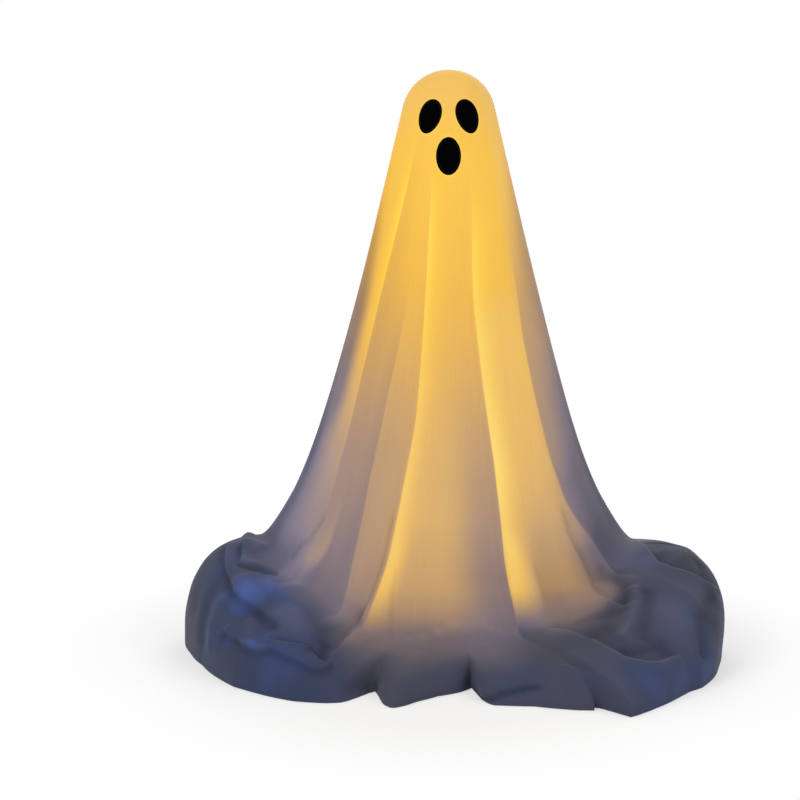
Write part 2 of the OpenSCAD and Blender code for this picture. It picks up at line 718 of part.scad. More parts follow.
function tangents(path) = [for (i = [0:len(path) - 1])
    unit(path[min(i + 1, len(path) - 1)] - path[max(i - 1, 0)])];
function square_to(n, t) = unit(n - t * (n * t));
function normals(ts) = [for (i = 0, n = square_to([1, 0.1, 0.2], ts[0]); i < len(ts);
    i = i + 1, n = i < len(ts) ? square_to(n, ts[i]) : n) n];

// Round wire along a path, as rings of points with a flat cap at each end
module wire_along(path, diameter, sides) {
    ts = tangents(path);
    ns = normals(ts);
    rings = [for (i = [0:len(path) - 1]) for (k = [0:sides - 1])
        let (turn = 360 * k / sides)
        path[i] + diameter / 2 * (ns[i] * cos(turn) + cross(ts[i], ns[i]) * sin(turn))];
    walls = [for (i = [0:len(path) - 2]) for (k = [0:sides - 1])
        let (a = i * sides + k, b = i * sides + (k + 1) % sides, c = a + sides, d = b + sides)
        each [[a, d, b], [a, c, d]]];
    end = (len(path) - 1) * sides;
    caps = [for (k = [1:sides - 2]) each [[0, k, k + 1], [end, end + k + 1, end + k]]];
    polyhedron(rings, concat(walls, caps));
}

module string_wire() { color("#3b3f36") wire_along(string_route, wire_diameter, wire_sides); }

// Every lamp's place, with +X pointing outwards
module at_lamps() {
    for (k = [0:run_count - 1]) for (i = [0:lamps_per_run - 1])
        translate(string_place(k, lamp_low + i * lamp_step)) rotate([0, 0, string_angle(k)]) children();
}
module led_sockets() {
    color("#3b3f36") at_lamps() difference() {
        union() {
            translate([0, 0, -socket_length / 2]) cylinder(d = sleeve_diameter, h = socket_length);
            rotate([0, 90, 0]) cylinder(d = lamp_neck, h = lamp_reach);
        }
        translate([0, 0, -socket_length]) cylinder(d = wire_diameter + 2 * easy, h = 2 * socket_length);
    }
}
module led_lenses() {
    color("#ffd98a") at_lamps() translate([lamp_reach, 0, 0]) rotate([0, 90, 0]) {
        cylinder(d = lens_diameter, h = lens_length - lens_diameter / 2);
        translate([0, 0, lens_length - lens_diameter / 2]) sphere(d = lens_diameter);
    }
}
module string_end_cap() {
    color("#1c1c1e") translate(string_place(run_count - 1, run_bottom - end_cap_length - 2)) difference() {
        cylinder(d = wire_diameter + 4, h = end_cap_length);
        translate([0, 0, 2]) cylinder(d = wire_diameter + 2 * easy, h = end_cap_length);
    }
}

// Case tray: a battery bay below a circuit board bay, open towards +Y
module case_tray() {
    knuckle_block = hinge_x - case_width / 2 + fuse;
    color("#2b2c2f") difference() {
        union() {
            difference() {
                translate([-case_width / 2, case_back, case_level]) cube([case_width, case_depth, case_height]);
                translate([-case_width / 2 + case_wall, case_back + case_wall, bay_floor])
                    cube([case_width - 2 * case_wall, case_depth, bay_height]);
                translate([-case_width / 2 + case_wall, case_back + case_wall, board_floor])
                    cube([case_width - 2 * case_wall, case_depth, board_bay]);
            }
            for (side = [-1, 1]) {
                translate([side * fascia_screw_x, case_back + fuse, fascia_screw_level]) rotate([-90, 0, 0])
                    cylinder(d = fascia_boss, h = case_depth - fuse);
                translate([side * case_width / 5, case_back + fuse, button_level]) rotate([-90, 0, 0])
                    cylinder(d = 4, h = board_line - case_back - fuse);
            }
            for (low = [hinge_low, hinge_high - knuckle_length]) {
                translate([hinge_x, hinge_y, low]) cylinder(d = knuckle_diameter, h = knuckle_length);
                translate([case_width / 2 - fuse, case_front - knuckle_diameter, low])
                    cube([knuckle_block, knuckle_diameter, knuckle_length]);
            }
        }
        translate([hinge_x, hinge_y, case_level])
            cylinder(d = hinge_pin + 2 * running, h = case_height);
        for (side = [-1, 1]) translate([side * fascia_screw_x, case_back + case_wall + 4, fascia_screw_level])
            rotate([-90, 0, 0]) cylinder(d = fascia_screw + 2 * easy, h = case_depth);
        translate([0, cell_line, case_level - fuse])
            cylinder(d = gland_neck + 2 * easy, h = case_wall + 2 * fuse);
    }
}
module case_fascia() {
    color("#2b2c2f") difference() {
        translate([-case_width / 2, case_front, fascia_low])
            cube([case_width, cover_thickness, case_top - fascia_low]);
        translate([0, case_front - fuse, button_level]) rotate([-90, 0, 0])
            cylinder(d = button_diameter + 2 * running, h = cover_thickness + 2 * fuse);
        for (side = [-1, 1]) translate([side * fascia_screw_x, case_front - fuse, fascia_screw_level])
            rotate([-90, 0, 0]) cylinder(d = fascia_screw + 2 * easy, h = cover_thickness + 2 * fuse);
    }
}
module case_door() {
    plate_edge = case_width / 2 - 1;
    knuckle_low = hinge_low + knuckle_length + apart;
    tab = 14;
    color("#34363a") difference() {
        union() {
            translate([-plate_edge, door_back, door_low])
                cube([2 * plate_edge, cover_thickness, door_high - door_low]);
            translate([hinge_x, hinge_y, knuckle_low]) cylinder(d = knuckle_diameter, h = knuckle_length);
            translate([plate_edge - fuse, door_back, knuckle_low])
                cube([hinge_x - plate_edge + fuse, cover_thickness, knuckle_length]);
            translate([-plate_edge - 5, door_back, (door_low + door_high - tab) / 2])
                cube([5 + fuse, cover_thickness, tab]);
        }
        translate([hinge_x, hinge_y, case_level]) cylinder(d = hinge_pin + 2 * running, h = case_height);
    }
}
module door_pin() {
    color("#a9adb2") translate([hinge_x, hinge_y, hinge_low])
        cylinder(d = hinge_pin, h = hinge_high - hinge_low);
}
module door_gasket() {
    color("#1c1c1e") difference() {
        translate([-case_width / 2 + apart, case_front, door_low])
            cube([case_width - 2 * apart, gasket_thickness, door_high - door_low]);
        translate([-case_width / 2 + case_wall, case_front - fuse, bay_floor + fuse])
            cube([case_width - 2 * case_wall, gasket_thickness + 2 * fuse, bay_height - 2 * fuse]);
    }
}
module fascia_screws() {
    head = fascia_screw * 1.8;
    color("#a9adb2") for (side = [-1, 1])
        translate([side * fascia_screw_x, case_front + cover_thickness, fascia_screw_level])
        rotate([90, 0, 0]) {
            translate([0, 0, -fascia_screw * 0.6]) cylinder(d = head, h = fascia_screw * 0.6);
            translate([0, 0, -fuse / 2]) cylinder(d = fascia_screw, h = cover_thickness + case_depth / 2);
        }
}

// Two spring clips that hold the case on the pole, open towards -Y
module case_clips() {
    mouth_width = pole_diameter * 0.75;
    color("#2b2c2f") for (low = [case_level + 8, case_top - 8 - clip_height]) difference() {
        union() {
            translate([0, 0, low]) cylinder(d = clip_diameter, h = clip_height);
            translate([-clip_diameter / 4, 0, low]) cube([clip_diameter / 2, case_back, clip_height]);
        }
        translate([0, 0, low - fuse]) cylinder(d = pole_diameter + 2 * easy, h = clip_height + 2 * fuse);
        translate([-mouth_width / 2, -clip_diameter, low - fuse])
            cube([mouth_width, clip_diameter, clip_height + 2 * fuse]);
    }
}

// Cells with a raised cap, on their contact springs
cell_foot = bay_floor + plate_thickness + spring_length;
module battery_cells() {
    cap = 1;
    color("#7c5a2e") for (x = cell_places) translate([x, cell_line, cell_foot]) {
        cylinder(d = cell_diameter, h = cell_length - cap);
        cylinder(d = cell_diameter * 0.38, h = cell_length);
    }
}

// Conical contact springs, each one wire that winds up to its cell
spring_turns = 3;
spring_steps = 8;
spring_wire = 0.8;
function spring_path(x) = [for (i = [0:spring_turns * spring_steps])
    let (share = i / (spring_turns * spring_steps), r = mix(4.5, 2.5, share), turn = 360 * spring_turns * share)
    [x + r * cos(turn), cell_line + r * sin(turn),
     mix(bay_floor + plate_thickness + spring_wire / 2 + easy, cell_foot - spring_wire / 2 - easy, share)]];
module contact_springs() {
    color("#c9ccd0") for (x = cell_places) wire_along(spring_path(x), spring_wire, 6);
}

// Thin plates that join the cells in series
module contact_plates() {
    plate_depth = 10;
    single = 9;
    double = cell_pitch + single;
    module plate(x, width, level) {
        translate([x - width / 2, cell_line - plate_depth / 2, level])
            cube([width, plate_depth, plate_thickness]);
    }
    color("#c9a24a") {
        for (side = [-1, 1]) {
            plate(side * cell_pitch, double, bay_floor);
            plate(side * cell_pitch * 1.5, single, bay_floor + bay_height - plate_thickness);
        }
        plate(0, double, bay_floor + bay_height - plate_thickness);
    }
}

// Board with the switch under the button and a driver chip
module circuit_board() {
    board_width = case_width - 2 * case_wall - 6;
    switch_width = 6;
    color("#1f5a3a") {
        translate([-board_width / 2, board_line, button_level - board_height / 2])
            cube([board_width, board_thickness, board_height]);
        translate([-switch_width / 2, board_line + board_thickness / 2, button_level - switch_width / 2])
            cube([switch_width, board_thickness / 2 + switch_height, switch_width]);
        translate([board_width / 4, board_line + board_thickness / 2, button_level - 4])
            cube([8, board_thickness / 2 + 1.5, 8]);
    }
}
module mode_button() {
    flange_face = case_front - apart;
    stem_end = switch_face + button_travel + apart;
    color("#c23b22") translate([0, 0, button_level]) rotate([-90, 0, 0]) {
        translate([0, 0, flange_face - button_flange]) cylinder(d = button_diameter + 3, h = button_flange);
        translate([0, 0, flange_face - button_flange])
            cylinder(d = button_diameter, h = cover_thickness + apart + button_flange + button_travel + 1);
        translate([0, 0, stem_end]) cylinder(d = button_diameter / 3, h = flange_face - stem_end);
    }
}

// Grommet in the case's floor that the string's lead comes out of
module lead_gland() {
    collar = 1.2;
    color("#1c1c1e") translate([0, cell_line, 0]) difference() {
        union() {
            translate([0, 0, case_level - gland_length]) cylinder(d = gland_diameter, h = gland_length);
            translate([0, 0, case_level - fuse]) cylinder(d = gland_neck, h = case_wall + collar + fuse);
        }
        translate([0, 0, case_level - gland_length - fuse])
            cylinder(d = wire_diameter + 2 * easy, h = gland_bore_depth + fuse);
    }
}

drape_front();
drape_back();
eye_left();
eye_right();
mouth();
lower_foot_bar();
upper_foot_bar();
lower_bar_feet();
upper_bar_feet();
lower_foot_screws();
upper_foot_screws();
pivot_bolt();
pivot_bush();
pivot_washer();
pivot_nut();
pole_socket();
clamp_knob();
lower_pole();
middle_pole();
upper_pole();
lower_snap_button();
upper_snap_button();
lower_snap_spring();
upper_snap_spring();
lower_hoop();
crown_hoop();
hoop_screws();
head_dome();
dome_screws();
string_wire();
led_sockets();
led_lenses();
string_end_cap();
case_tray();
case_fascia();
case_door();
door_pin();
door_gasket();
fascia_screws();
case_clips();
battery_cells();
contact_springs();
contact_plates();
circuit_board();
mode_button();
lead_gland();
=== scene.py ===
"""Light-up ghost: a thin cloth drape over a pole stand that carries a laced light string."""
import math
from collections import namedtuple

import bpy
import numpy as np
from mathutils import Euler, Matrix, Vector, noise


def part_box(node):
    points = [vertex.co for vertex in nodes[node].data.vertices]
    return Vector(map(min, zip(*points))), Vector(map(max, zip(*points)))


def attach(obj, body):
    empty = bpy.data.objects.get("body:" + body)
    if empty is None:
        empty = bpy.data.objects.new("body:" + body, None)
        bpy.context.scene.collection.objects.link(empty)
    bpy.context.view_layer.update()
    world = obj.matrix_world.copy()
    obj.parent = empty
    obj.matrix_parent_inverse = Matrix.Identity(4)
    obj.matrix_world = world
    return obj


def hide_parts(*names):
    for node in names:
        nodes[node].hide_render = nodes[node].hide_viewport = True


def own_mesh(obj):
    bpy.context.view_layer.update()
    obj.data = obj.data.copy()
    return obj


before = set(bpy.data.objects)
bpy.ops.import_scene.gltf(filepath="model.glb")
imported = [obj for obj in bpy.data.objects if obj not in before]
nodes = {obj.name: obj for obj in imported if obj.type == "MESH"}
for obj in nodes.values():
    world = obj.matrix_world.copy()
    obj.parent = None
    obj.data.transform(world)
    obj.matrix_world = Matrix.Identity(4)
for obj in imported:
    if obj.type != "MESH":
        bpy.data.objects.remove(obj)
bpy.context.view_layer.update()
scene = bpy.context.scene


# Camera: it stands 5.5 m in front of the figure at eye height and looks slightly down,
# with the figure a little to the right of the middle, as in the photograph.
FRAME_PIXELS, FOCAL_PIXELS = 800, 1588
SENSOR_WIDTH = 36
CAMERA_PLACE = (0, -5.5, 1.45)
LOOK_DOWN, LOOK_LEFT = 6.03, 1.731


def put_in_scene(name, data):
    item = bpy.data.objects.new(name, data)
    scene.collection.objects.link(item)
    return item


camera_data = bpy.data.cameras.new("camera")
camera_data.sensor_width = SENSOR_WIDTH
camera_data.lens = SENSOR_WIDTH * FOCAL_PIXELS / FRAME_PIXELS
camera = put_in_scene("camera", camera_data)
camera.location = CAMERA_PLACE
camera.rotation_euler = Euler((math.radians(90 - LOOK_DOWN), 0, math.radians(LOOK_LEFT)))
scene.camera = camera
scene.view_settings.view_transform = "Standard"


# Studio: a pale floor that turns white further out, a white room for the eye and for
# reflections, and three large soft lamps.
WHITE = (1, 1, 1, 1)
ROOM_LIGHT = 0.42
FLOOR_REACH = 14
FLOOR_TONE = (0.93, 0.93, 0.93, 1)
WHITE_FROM, WHITE_PAST, NEAR_WHITE = 0.85, 1.6, 0.5
LAMP_SIZE = 3.0
LAMP_AIM = Vector((0, 0, 0.7))
LAMPS = (("key", (-3.2, -3.6, 4.2), 165), ("fill", (3.6, -3.4, 3.0), 85), ("back", (0.5, 4.2, 4.0), 110))


def add_node(tree, kind, inputs=None, **settings):
    """Adds a node with its settings, sets or links its inputs, and gives its outputs."""
    node = tree.nodes.new(kind)
    for key, value in settings.items():
        setattr(node, key, value)
    for key, value in (inputs or {}).items():
        if isinstance(value, bpy.types.NodeSocket):
            tree.links.new(value, node.inputs[key])
        else:
            node.inputs[key].default_value = value
    return node.outputs


def math_of(tree, operation, first, second=0.0):
    return add_node(tree, "ShaderNodeMath", {0: first, 1: second}, operation=operation)[0]


def times(tree, first, second):
    return math_of(tree, "MULTIPLY", first, second)


def vector_of(tree, operation, first, second=(0, 0, 0)):
    return add_node(tree, "ShaderNodeVectorMath", {0: first, 1: second}, operation=operation)


def range_of(tree, value, low, high, start=0.0, end=1.0):
    inputs = {"Value": value, 1: low, 2: high, 3: start, 4: end}
    return add_node(tree, "ShaderNodeMapRange", inputs, interpolation_type="SMOOTHSTEP")[0]


def new_material(name):
    material = bpy.data.materials.new(name)
    material.use_nodes = True
    material.node_tree.nodes.clear()
    return material, material.node_tree


def object_place(tree):
    return add_node(tree, "ShaderNodeTexCoord")["Object"]


def seen_directly(tree):
    """1 for what the eye, a reflection or a view through glass meets, 0 for light on its way."""
    path = add_node(tree, "ShaderNodeLightPath")
    seen = math_of(tree, "MAXIMUM", path["Is Camera Ray"], path["Is Glossy Ray"])
    return math_of(tree, "MAXIMUM", seen, path["Is Transmission Ray"])


def mesh_of(name, corners, faces, edges=()):
    mesh = bpy.data.meshes.new(name)
    mesh.from_pydata(corners, edges, faces)
    mesh.shade_smooth()
    return mesh


world = bpy.data.worlds.new("room")
world.use_nodes = True
tree = world.node_tree
tree.nodes.clear()
room_strength = range_of(tree, seen_directly(tree), 0.0, 1.0, ROOM_LIGHT, 1.0)
room = add_node(tree, "ShaderNodeBackground", {"Color": WHITE, "Strength": room_strength})[0]
add_node(tree, "ShaderNodeOutputWorld", {"Surface": room})
scene.world = world

floor_corners = [(x * FLOOR_REACH, y * FLOOR_REACH, 0) for x, y in ((-1, -1), (1, -1), (1, 1), (-1, 1))]
floor = put_in_scene("floor", mesh_of("floor", floor_corners, [(0, 1, 2, 3)]))
floor_material, tree = new_material("floor")
distance = vector_of(tree, "LENGTH", object_place(tree))["Value"]
whiter = range_of(tree, distance, WHITE_FROM, WHITE_PAST, NEAR_WHITE, 1.0)
matt = add_node(tree, "ShaderNodeBsdfDiffuse", {"Color": FLOOR_TONE})[0]
white = add_node(tree, "ShaderNodeEmission", {"Color": WHITE, "Strength": 1.0})[0]
white_share = times(tree, whiter, seen_directly(tree))
both = add_node(tree, "ShaderNodeMixShader", {0: white_share, 1: matt, 2: white})[0]
add_node(tree, "ShaderNodeOutputMaterial", {"Surface": both})
floor.data.materials.append(floor_material)

for name, spot, watts in LAMPS:
    lamp_data = bpy.data.lights.new(name, "AREA")
    lamp_data.size = LAMP_SIZE
    lamp_data.energy = watts
    lamp = put_in_scene(name, lamp_data)
    lamp.location = spot
    lamp.rotation_euler = (LAMP_AIM - Vector(spot)).to_track_quat("-Z", "Y").to_euler()


# Foot bars: two flat steel bars with rounded ends, crossed under the pole. They are cut, drilled
# and coated in black powder, which is worn through a little along the edges.
GRAIN_BUMP, GRAIN_ROUGHNESS = 0.4, 0.6
WORN_EDGE = (0.97, 0.80)
# Speckles of a surface's grain: share of its scale, detail, and the range of the noise that counts
SPECKLES = (("Height", 1.0, 4.0, (0.3, 0.7)), ("Tone", 0.07, 3.0, (0.35, 0.65)),
            ("Scuff", 0.25, 8.0, (0.57, 0.70)))


def colour(red, green, blue):
    """A shader's colour from a screen's 0 to 255."""
    def linear(c):
        c /= 255
        return c / 12.92 if c <= 0.04045 else ((c + 0.055) / 1.055) ** 2.4
    return (linear(red), linear(green), linear(blue), 1)


def blend_of(tree, share, first, second, **settings):
    return add_node(tree, "ShaderNodeMix", {0: share, 6: first, 7: second}, data_type="RGBA", **settings)[2]


def noise_of(tree, vector, scale, detail, roughness=0.5):
    inputs = {"Vector": vector, "Scale": scale, "Detail": detail, "Roughness": roughness}
    return add_node(tree, "ShaderNodeTexNoise", inputs)[0]


def bump_of(tree, height, strength, distance):
    return add_node(tree, "ShaderNodeBump", {"Height": height, "Strength": strength, "Distance": distance})[0]


def new_group(name, vectors, values, results):
    """An empty shader node group with its inputs and outputs."""
    group = bpy.data.node_groups.new(name, "ShaderNodeTree")
    for keys, kind, way in ((vectors, "NodeSocketVector", "INPUT"), (values, "NodeSocketFloat", "INPUT"),
                            (results, "NodeSocketFloat", "OUTPUT")):
        for key in keys:
            group.interface.new_socket(key, in_out=way, socket_type=kind)
    return group, group.nodes.new("NodeGroupInput").outputs, group.nodes.new("NodeGroupOutput")


def group_of(tree, group, inputs):
    return add_node(tree, "ShaderNodeGroup", inputs, node_tree=group)


grain_group, given, result = new_group("surface_grain", ("Vector", "Stretch"), ("Scale",),
                                       ("Height", "Tone", "Scuff"))
drawn_out = vector_of(grain_group, "MULTIPLY", given["Vector"], given["Stretch"])[0]
for key, share, detail, counts in SPECKLES:
    own_scale = times(grain_group, given["Scale"], share)
    speckle = noise_of(grain_group, drawn_out, own_scale, detail, GRAIN_ROUGHNESS)
    grain_group.links.new(range_of(grain_group, speckle, *counts), result.inputs[key])

edge_group, given, result = new_group("edge_wear", (), ("Radius",), ("Mask",))
rounded = add_node(edge_group, "ShaderNodeBevel", {"Radius": given["Radius"]}, samples=4)[0]
sharp = add_node(edge_group, "ShaderNodeNewGeometry")["Normal"]
agreement = vector_of(edge_group, "DOT_PRODUCT", rounded, sharp)["Value"]
edge_group.links.new(range_of(edge_group, agreement, *WORN_EDGE), result.inputs["Mask"])


def worn_surface(tree, tones, grain, stretch=(1, 1, 1), scuffs=0.2, edge=0.0006):
    """Colour and relief of a surface in two close tones, with a third on scuffs and worn edges."""
    first, second, worn = (colour(*tone) for tone in tones)
    speckle = group_of(tree, grain_group, {"Vector": object_place(tree), "Stretch": stretch, "Scale": grain})
    edges = group_of(tree, edge_group, {"Radius": edge})["Mask"]
    bare_edges = times(tree, edges, speckle["Tone"])
    wear = math_of(tree, "MAXIMUM", bare_edges, times(tree, speckle["Scuff"], scuffs))
    return blend_of(tree, wear, blend_of(tree, speckle["Tone"], first, second), worn), speckle["Height"]


def shade_with(tree, **inputs):
    """The material's shader; each input is a socket's name with _ for its spaces."""
    sockets = {key.replace("_", " "): value for key, value in inputs.items()}
    shader = add_node(tree, "ShaderNodeBsdfPrincipled", sockets)[0]
    add_node(tree, "ShaderNodeOutputMaterial", {"Surface": shader})


def finish_off(tree, tint, height, rough, relief, **settings):
    """Roughness, between two values, and bumps from the grain's height."""
    roughness = add_node(tree, "ShaderNodeMapRange", {"Value": height, 3: rough[0], 4: rough[1]})[0]
    bump = bump_of(tree, height, GRAIN_BUMP, relief)
    shade_with(tree, Base_Color=tint, Roughness=roughness, Normal=bump, **settings)


def plain_finish(name, tones, grain, rough, relief, stretch=(1, 1, 1), scuffs=0.2, edge=0.0006, **settings):
    """A material that is the same worn surface all over."""
    material, tree = new_material(name)
    finish_off(tree, *worn_surface(tree, tones, grain, stretch, scuffs, edge), rough, relief, **settings)
    return material


def dress(material, *names):
    for name in names:
        nodes[name].data.materials.clear()
        nodes[name].data.materials.append(material)


black_steel = plain_finish("black_steel", ((24, 24, 26), (34, 34, 37), (122, 124, 128)), grain=900,
                           rough=(0.40, 0.58), relief=0.00012, scuffs=0.10, edge=0.0008)
dress(black_steel, "lower_foot_bar", "upper_foot_bar")


# Feet: rubber pads pressed in one piece and screwed under the ends of the bars, dusty and
# slightly chalky from the floor.
foot_rubber = plain_finish("foot_rubber", ((21, 21, 22), (29, 29, 29), (62, 60, 58)), grain=1400,
                           rough=(0.78, 0.95), relief=0.0003, scuffs=0.35, Specular_IOR_Level=0.3)
dress(foot_rubber, "lower_bar_feet", "upper_bar_feet")


# Screws, bolt, nut, washer, pin and snap buttons: steel, turned or rolled and plated with bright
# zinc that has gone a little grey.
zinc_steel = plain_finish("zinc_steel", ((186, 190, 196), (166, 170, 177), (132, 134, 138)), grain=700,
                          rough=(0.24, 0.42), relief=0.00008, scuffs=0.4, Metallic=1.0)
dress(zinc_steel, "lower_foot_screws", "upper_foot_screws", "pivot_bolt", "pivot_washer", "pivot_nut",
      "lower_snap_button", "upper_snap_button", "hoop_screws", "dome_screws", "door_pin", "fascia_screws")


# Pivot bush: a plain bearing of sintered bronze on which the upper bar turns, dark with oil.
# It is pressed in one piece and slides over the pivot bolt.
bush_bronze = plain_finish("bush_bronze", ((178, 136, 78), (150, 108, 58), (92, 68, 42)), grain=1800,
                           rough=(0.32, 0.5), relief=0.0001, scuffs=0.5, Metallic=1.0)
dress(bush_bronze, "pivot_bush")


# Pole socket, clamp knob and the two hoops: black plastic with a fine spark texture from the
# moulds, a little shiny where hands and cloth rub on them.
stand_plastic = plain_finish("stand_plastic", ((33, 33, 36), (40, 40, 43), (66, 66, 70)), grain=1100,
                             rough=(0.45, 0.62), relief=0.00018)
dress(stand_plastic, "pole_socket", "clamp_knob", "lower_hoop", "crown_hoop")


# Poles: three lengths of drawn aluminium tube that push into each other, anodised dark grey, with
# the fine lines of the drawing along them.
pole_tube = plain_finish("pole_tube", ((54, 55, 60), (66, 67, 72), (120, 122, 126)), grain=1500,
                         rough=(0.30, 0.48), relief=0.00006, stretch=(1, 1, 0.02), scuffs=0.15, Metallic=0.85)
dress(pole_tube, "lower_pole", "middle_pole", "upper_pole")


# Springs: strips of hard bright steel bent double behind the snap buttons, which close up as these
# are pressed, and the conical springs under the cells.
LEAF_THICKNESS, LEAF_CHAMFER, BUTTON_GAP = 0.0008, 0.00015, 0.00005
BEND_STEPS = 16
SHARP_EDGE = 40
spring_steel = plain_finish("spring_steel", ((200, 203, 208), (182, 186, 192), (140, 142, 148)), grain=1600,
                            rough=(0.18, 0.34), relief=0.00005, scuffs=0.25, Metallic=1.0)
dress(spring_steel, "contact_springs")


def bend_leaf(name, node):
    """A strip bent double in the space of the CAD leaf; its front side follows the button."""
    (back, near, foot), (front, far, top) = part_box(node)
    front -= BUTTON_GAP
    half = LEAF_THICKNESS / 2
    radius = (front - back) / 2 - half
    spine = [(back + half, top)]
    for step in range(BEND_STEPS + 1):
        turn = math.pi * step / BEND_STEPS
        spine.append(((back + front) / 2 - radius * math.cos(turn),
                      foot + half + radius * (1 - math.sin(turn))))
    spine.append((front - half, top))
    flat, inner, outer = half - LEAF_CHAMFER, near + LEAF_CHAMFER, far - LEAF_CHAMFER
    section = ((half, inner), (flat, near), (-flat, near), (-half, inner),
               (-half, outer), (-flat, far), (flat, far), (half, outer))
    rings = []
    for index, (x, z) in enumerate(spine):
        before, after = spine[max(index - 1, 0)], spine[min(index + 1, len(spine) - 1)]
        along_x, along_z = after[0] - before[0], after[1] - before[1]
        length = math.hypot(along_x, along_z)
        rings += [(x + side * along_z / length, across, z - side * along_x / length)
                  for side, across in section]
    count = len(section)
    last = len(rings) - count
    faces = [tuple(range(count)), tuple(range(last + count - 1, last - 1, -1))]
    for start in range(0, last, count):
        for k in range(count):
            n = (k + 1) % count
            faces.append((start + n, start + k, start + k + count, start + n + count))
    mesh = mesh_of(name, rings, faces)
    mesh.set_sharp_from_angle(angle=math.radians(SHARP_EDGE))
    mesh.materials.append(spring_steel)
    leaf = put_in_scene(name, mesh)
    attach(leaf, "stand")
    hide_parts(node)
    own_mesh(leaf)


bend_leaf("lower_snap_leaf", "lower_snap_spring")
bend_leaf("upper_snap_leaf", "upper_snap_spring")


# Head dome: a thin milky plastic shell that lets the light through, screwed to the crown hoop
# to carry the cloth.
dome_plastic = plain_finish("dome_plastic", ((240, 234, 220), (230, 222, 204), (206, 196, 176)), grain=500,
                            rough=(0.35, 0.5), relief=0.0001, Subsurface_Weight=0.15, Subsurface_Scale=0.004)
dress(dome_plastic, "head_dome")


# Light string: a thin two-core wire in a dark green jacket, with a moulded holder at each lamp
# and a cap on its end, laced up and down between the hoops.
wire_jacket = plain_finish("wire_jacket", ((30, 35, 28), (38, 43, 35), (64, 68, 60)), grain=1700,
                           rough=(0.38, 0.55), relief=0.0001)
dress(wire_jacket, "string_wire", "led_sockets", "string_end_cap")


# Lamps: small frosted lenses of warm white plastic, moulded in one piece. Each is pushed into its
# holder on the string.
lamp_lens = plain_finish("lamp_lens", ((255, 222, 150), (255, 206, 118), (255, 236, 190)), grain=2600,
                         rough=(0.25, 0.45), relief=0.0001, scuffs=0.3,
                         Emission_Color=colour(255, 190, 92), Emission_Strength=1.6)
dress(lamp_lens, "led_lenses")


# Battery case: tray, door, fascia and pole clips moulded in charcoal plastic with a fine texture.
# The door's gasket and the lead's gland are rubber like the feet.
case_plastic = plain_finish("case_plastic", ((40, 41, 44), (48, 49, 52), (78, 79, 83)), grain=1600,
                            rough=(0.48, 0.66), relief=0.00015, scuffs=0.18, edge=0.0004)
dress(case_plastic, "case_tray", "case_fascia", "case_door", "case_clips")
dress(foot_rubber, "door_gasket", "lead_gland")


# Cells: four round cells in a shrunk bronze-coloured wrap, with the bare steel of the can at
# their lower rims and on the raised caps.
BARE_RIM, BARE_CAP = 0.0008, 0.0016
CAN_STEEL = colour(196, 198, 202)
cells_foot, cells_top = (corner[2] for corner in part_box("battery_cells"))


def xyz_of(tree, vector):
    return add_node(tree, "ShaderNodeSeparateXYZ", {0: vector})


cell_wrap, tree = new_material("cell_wrap")
tint, height = worn_surface(tree, ((170, 124, 62), (156, 110, 52), (196, 158, 104)), grain=900, scuffs=0.25)
level = xyz_of(tree, object_place(tree))["Z"]
bare = math_of(tree, "MAXIMUM", math_of(tree, "LESS_THAN", level, cells_foot + BARE_RIM),
               math_of(tree, "GREATER_THAN", level, cells_top - BARE_CAP))
tint = blend_of(tree, bare, tint, CAN_STEEL)
finish_off(tree, tint, height, rough=(0.2, 0.36), relief=0.00006, Metallic=bare)
dress(cell_wrap, "battery_cells")


# Contact plates: strips stamped from thin sheet brass, slightly tarnished. They clip into the
# case and join the cells in series.
contact_brass = plain_finish("contact_brass", ((206, 172, 98), (190, 152, 80), (140, 108, 60)), grain=1200,
                             rough=(0.24, 0.44), relief=0.00006, scuffs=0.4, Metallic=1.0)
dress(contact_brass, "contact_plates")


# Circuit board: green lacquer over glass cloth, with the copper tracks showing through as paler
# lines, and the small switch under the button.
TRACK_PITCH, TRACK_EDGE, TRACK_SHOWS = 0.0026, (0.20, 0.16), 0.6
BEND_RUN, BEND_SLOPE = 6.0, 0.5
TRACK_GREEN = colour(92, 150, 84)


def scaled(tree, vector, scale):
    return add_node(tree, "ShaderNodeVectorMath", {0: vector, "Scale": scale}, operation="SCALE")[0]


board_green, tree = new_material("board_green")
tint, height = worn_surface(tree, ((22, 84, 50), (18, 74, 44), (48, 112, 74)), grain=2400, scuffs=0.1)
run = xyz_of(tree, scaled(tree, object_place(tree), 1 / TRACK_PITCH))
bend = times(tree, math_of(tree, "PINGPONG", run["X"], BEND_RUN), BEND_SLOPE)
across = math_of(tree, "PINGPONG", math_of(tree, "ADD", run["Z"], bend), 0.5)
track = times(tree, range_of(tree, across, *TRACK_EDGE), TRACK_SHOWS)
finish_off(tree, blend_of(tree, track, tint, TRACK_GREEN), height, rough=(0.3, 0.45), relief=0.00008)
dress(board_green, "circuit_board")


# Mode button: a cap moulded in red plastic that slides in the fascia, polished by fingers in
# the middle.
button_red = plain_finish("button_red", ((172, 30, 26), (158, 24, 22), (196, 66, 56)), grain=1500,
                          rough=(0.28, 0.46), relief=0.0001, edge=0.0003)
dress(button_red, "mode_button")


# Drape: two panels of thin woven cloth, sewn together up the sides. It hangs from the head
# dome in long folds, and its spare length lies in soft rolls on the floor.
HEIGHT = 2.0
HEAD_RADIUS = 0.16
HEAD_CENTRE = HEIGHT - HEAD_RADIUS
DOME_ANGLE = 80
DOME_END = HEAD_CENTRE + HEAD_RADIUS * math.cos(math.radians(DOME_ANGLE))
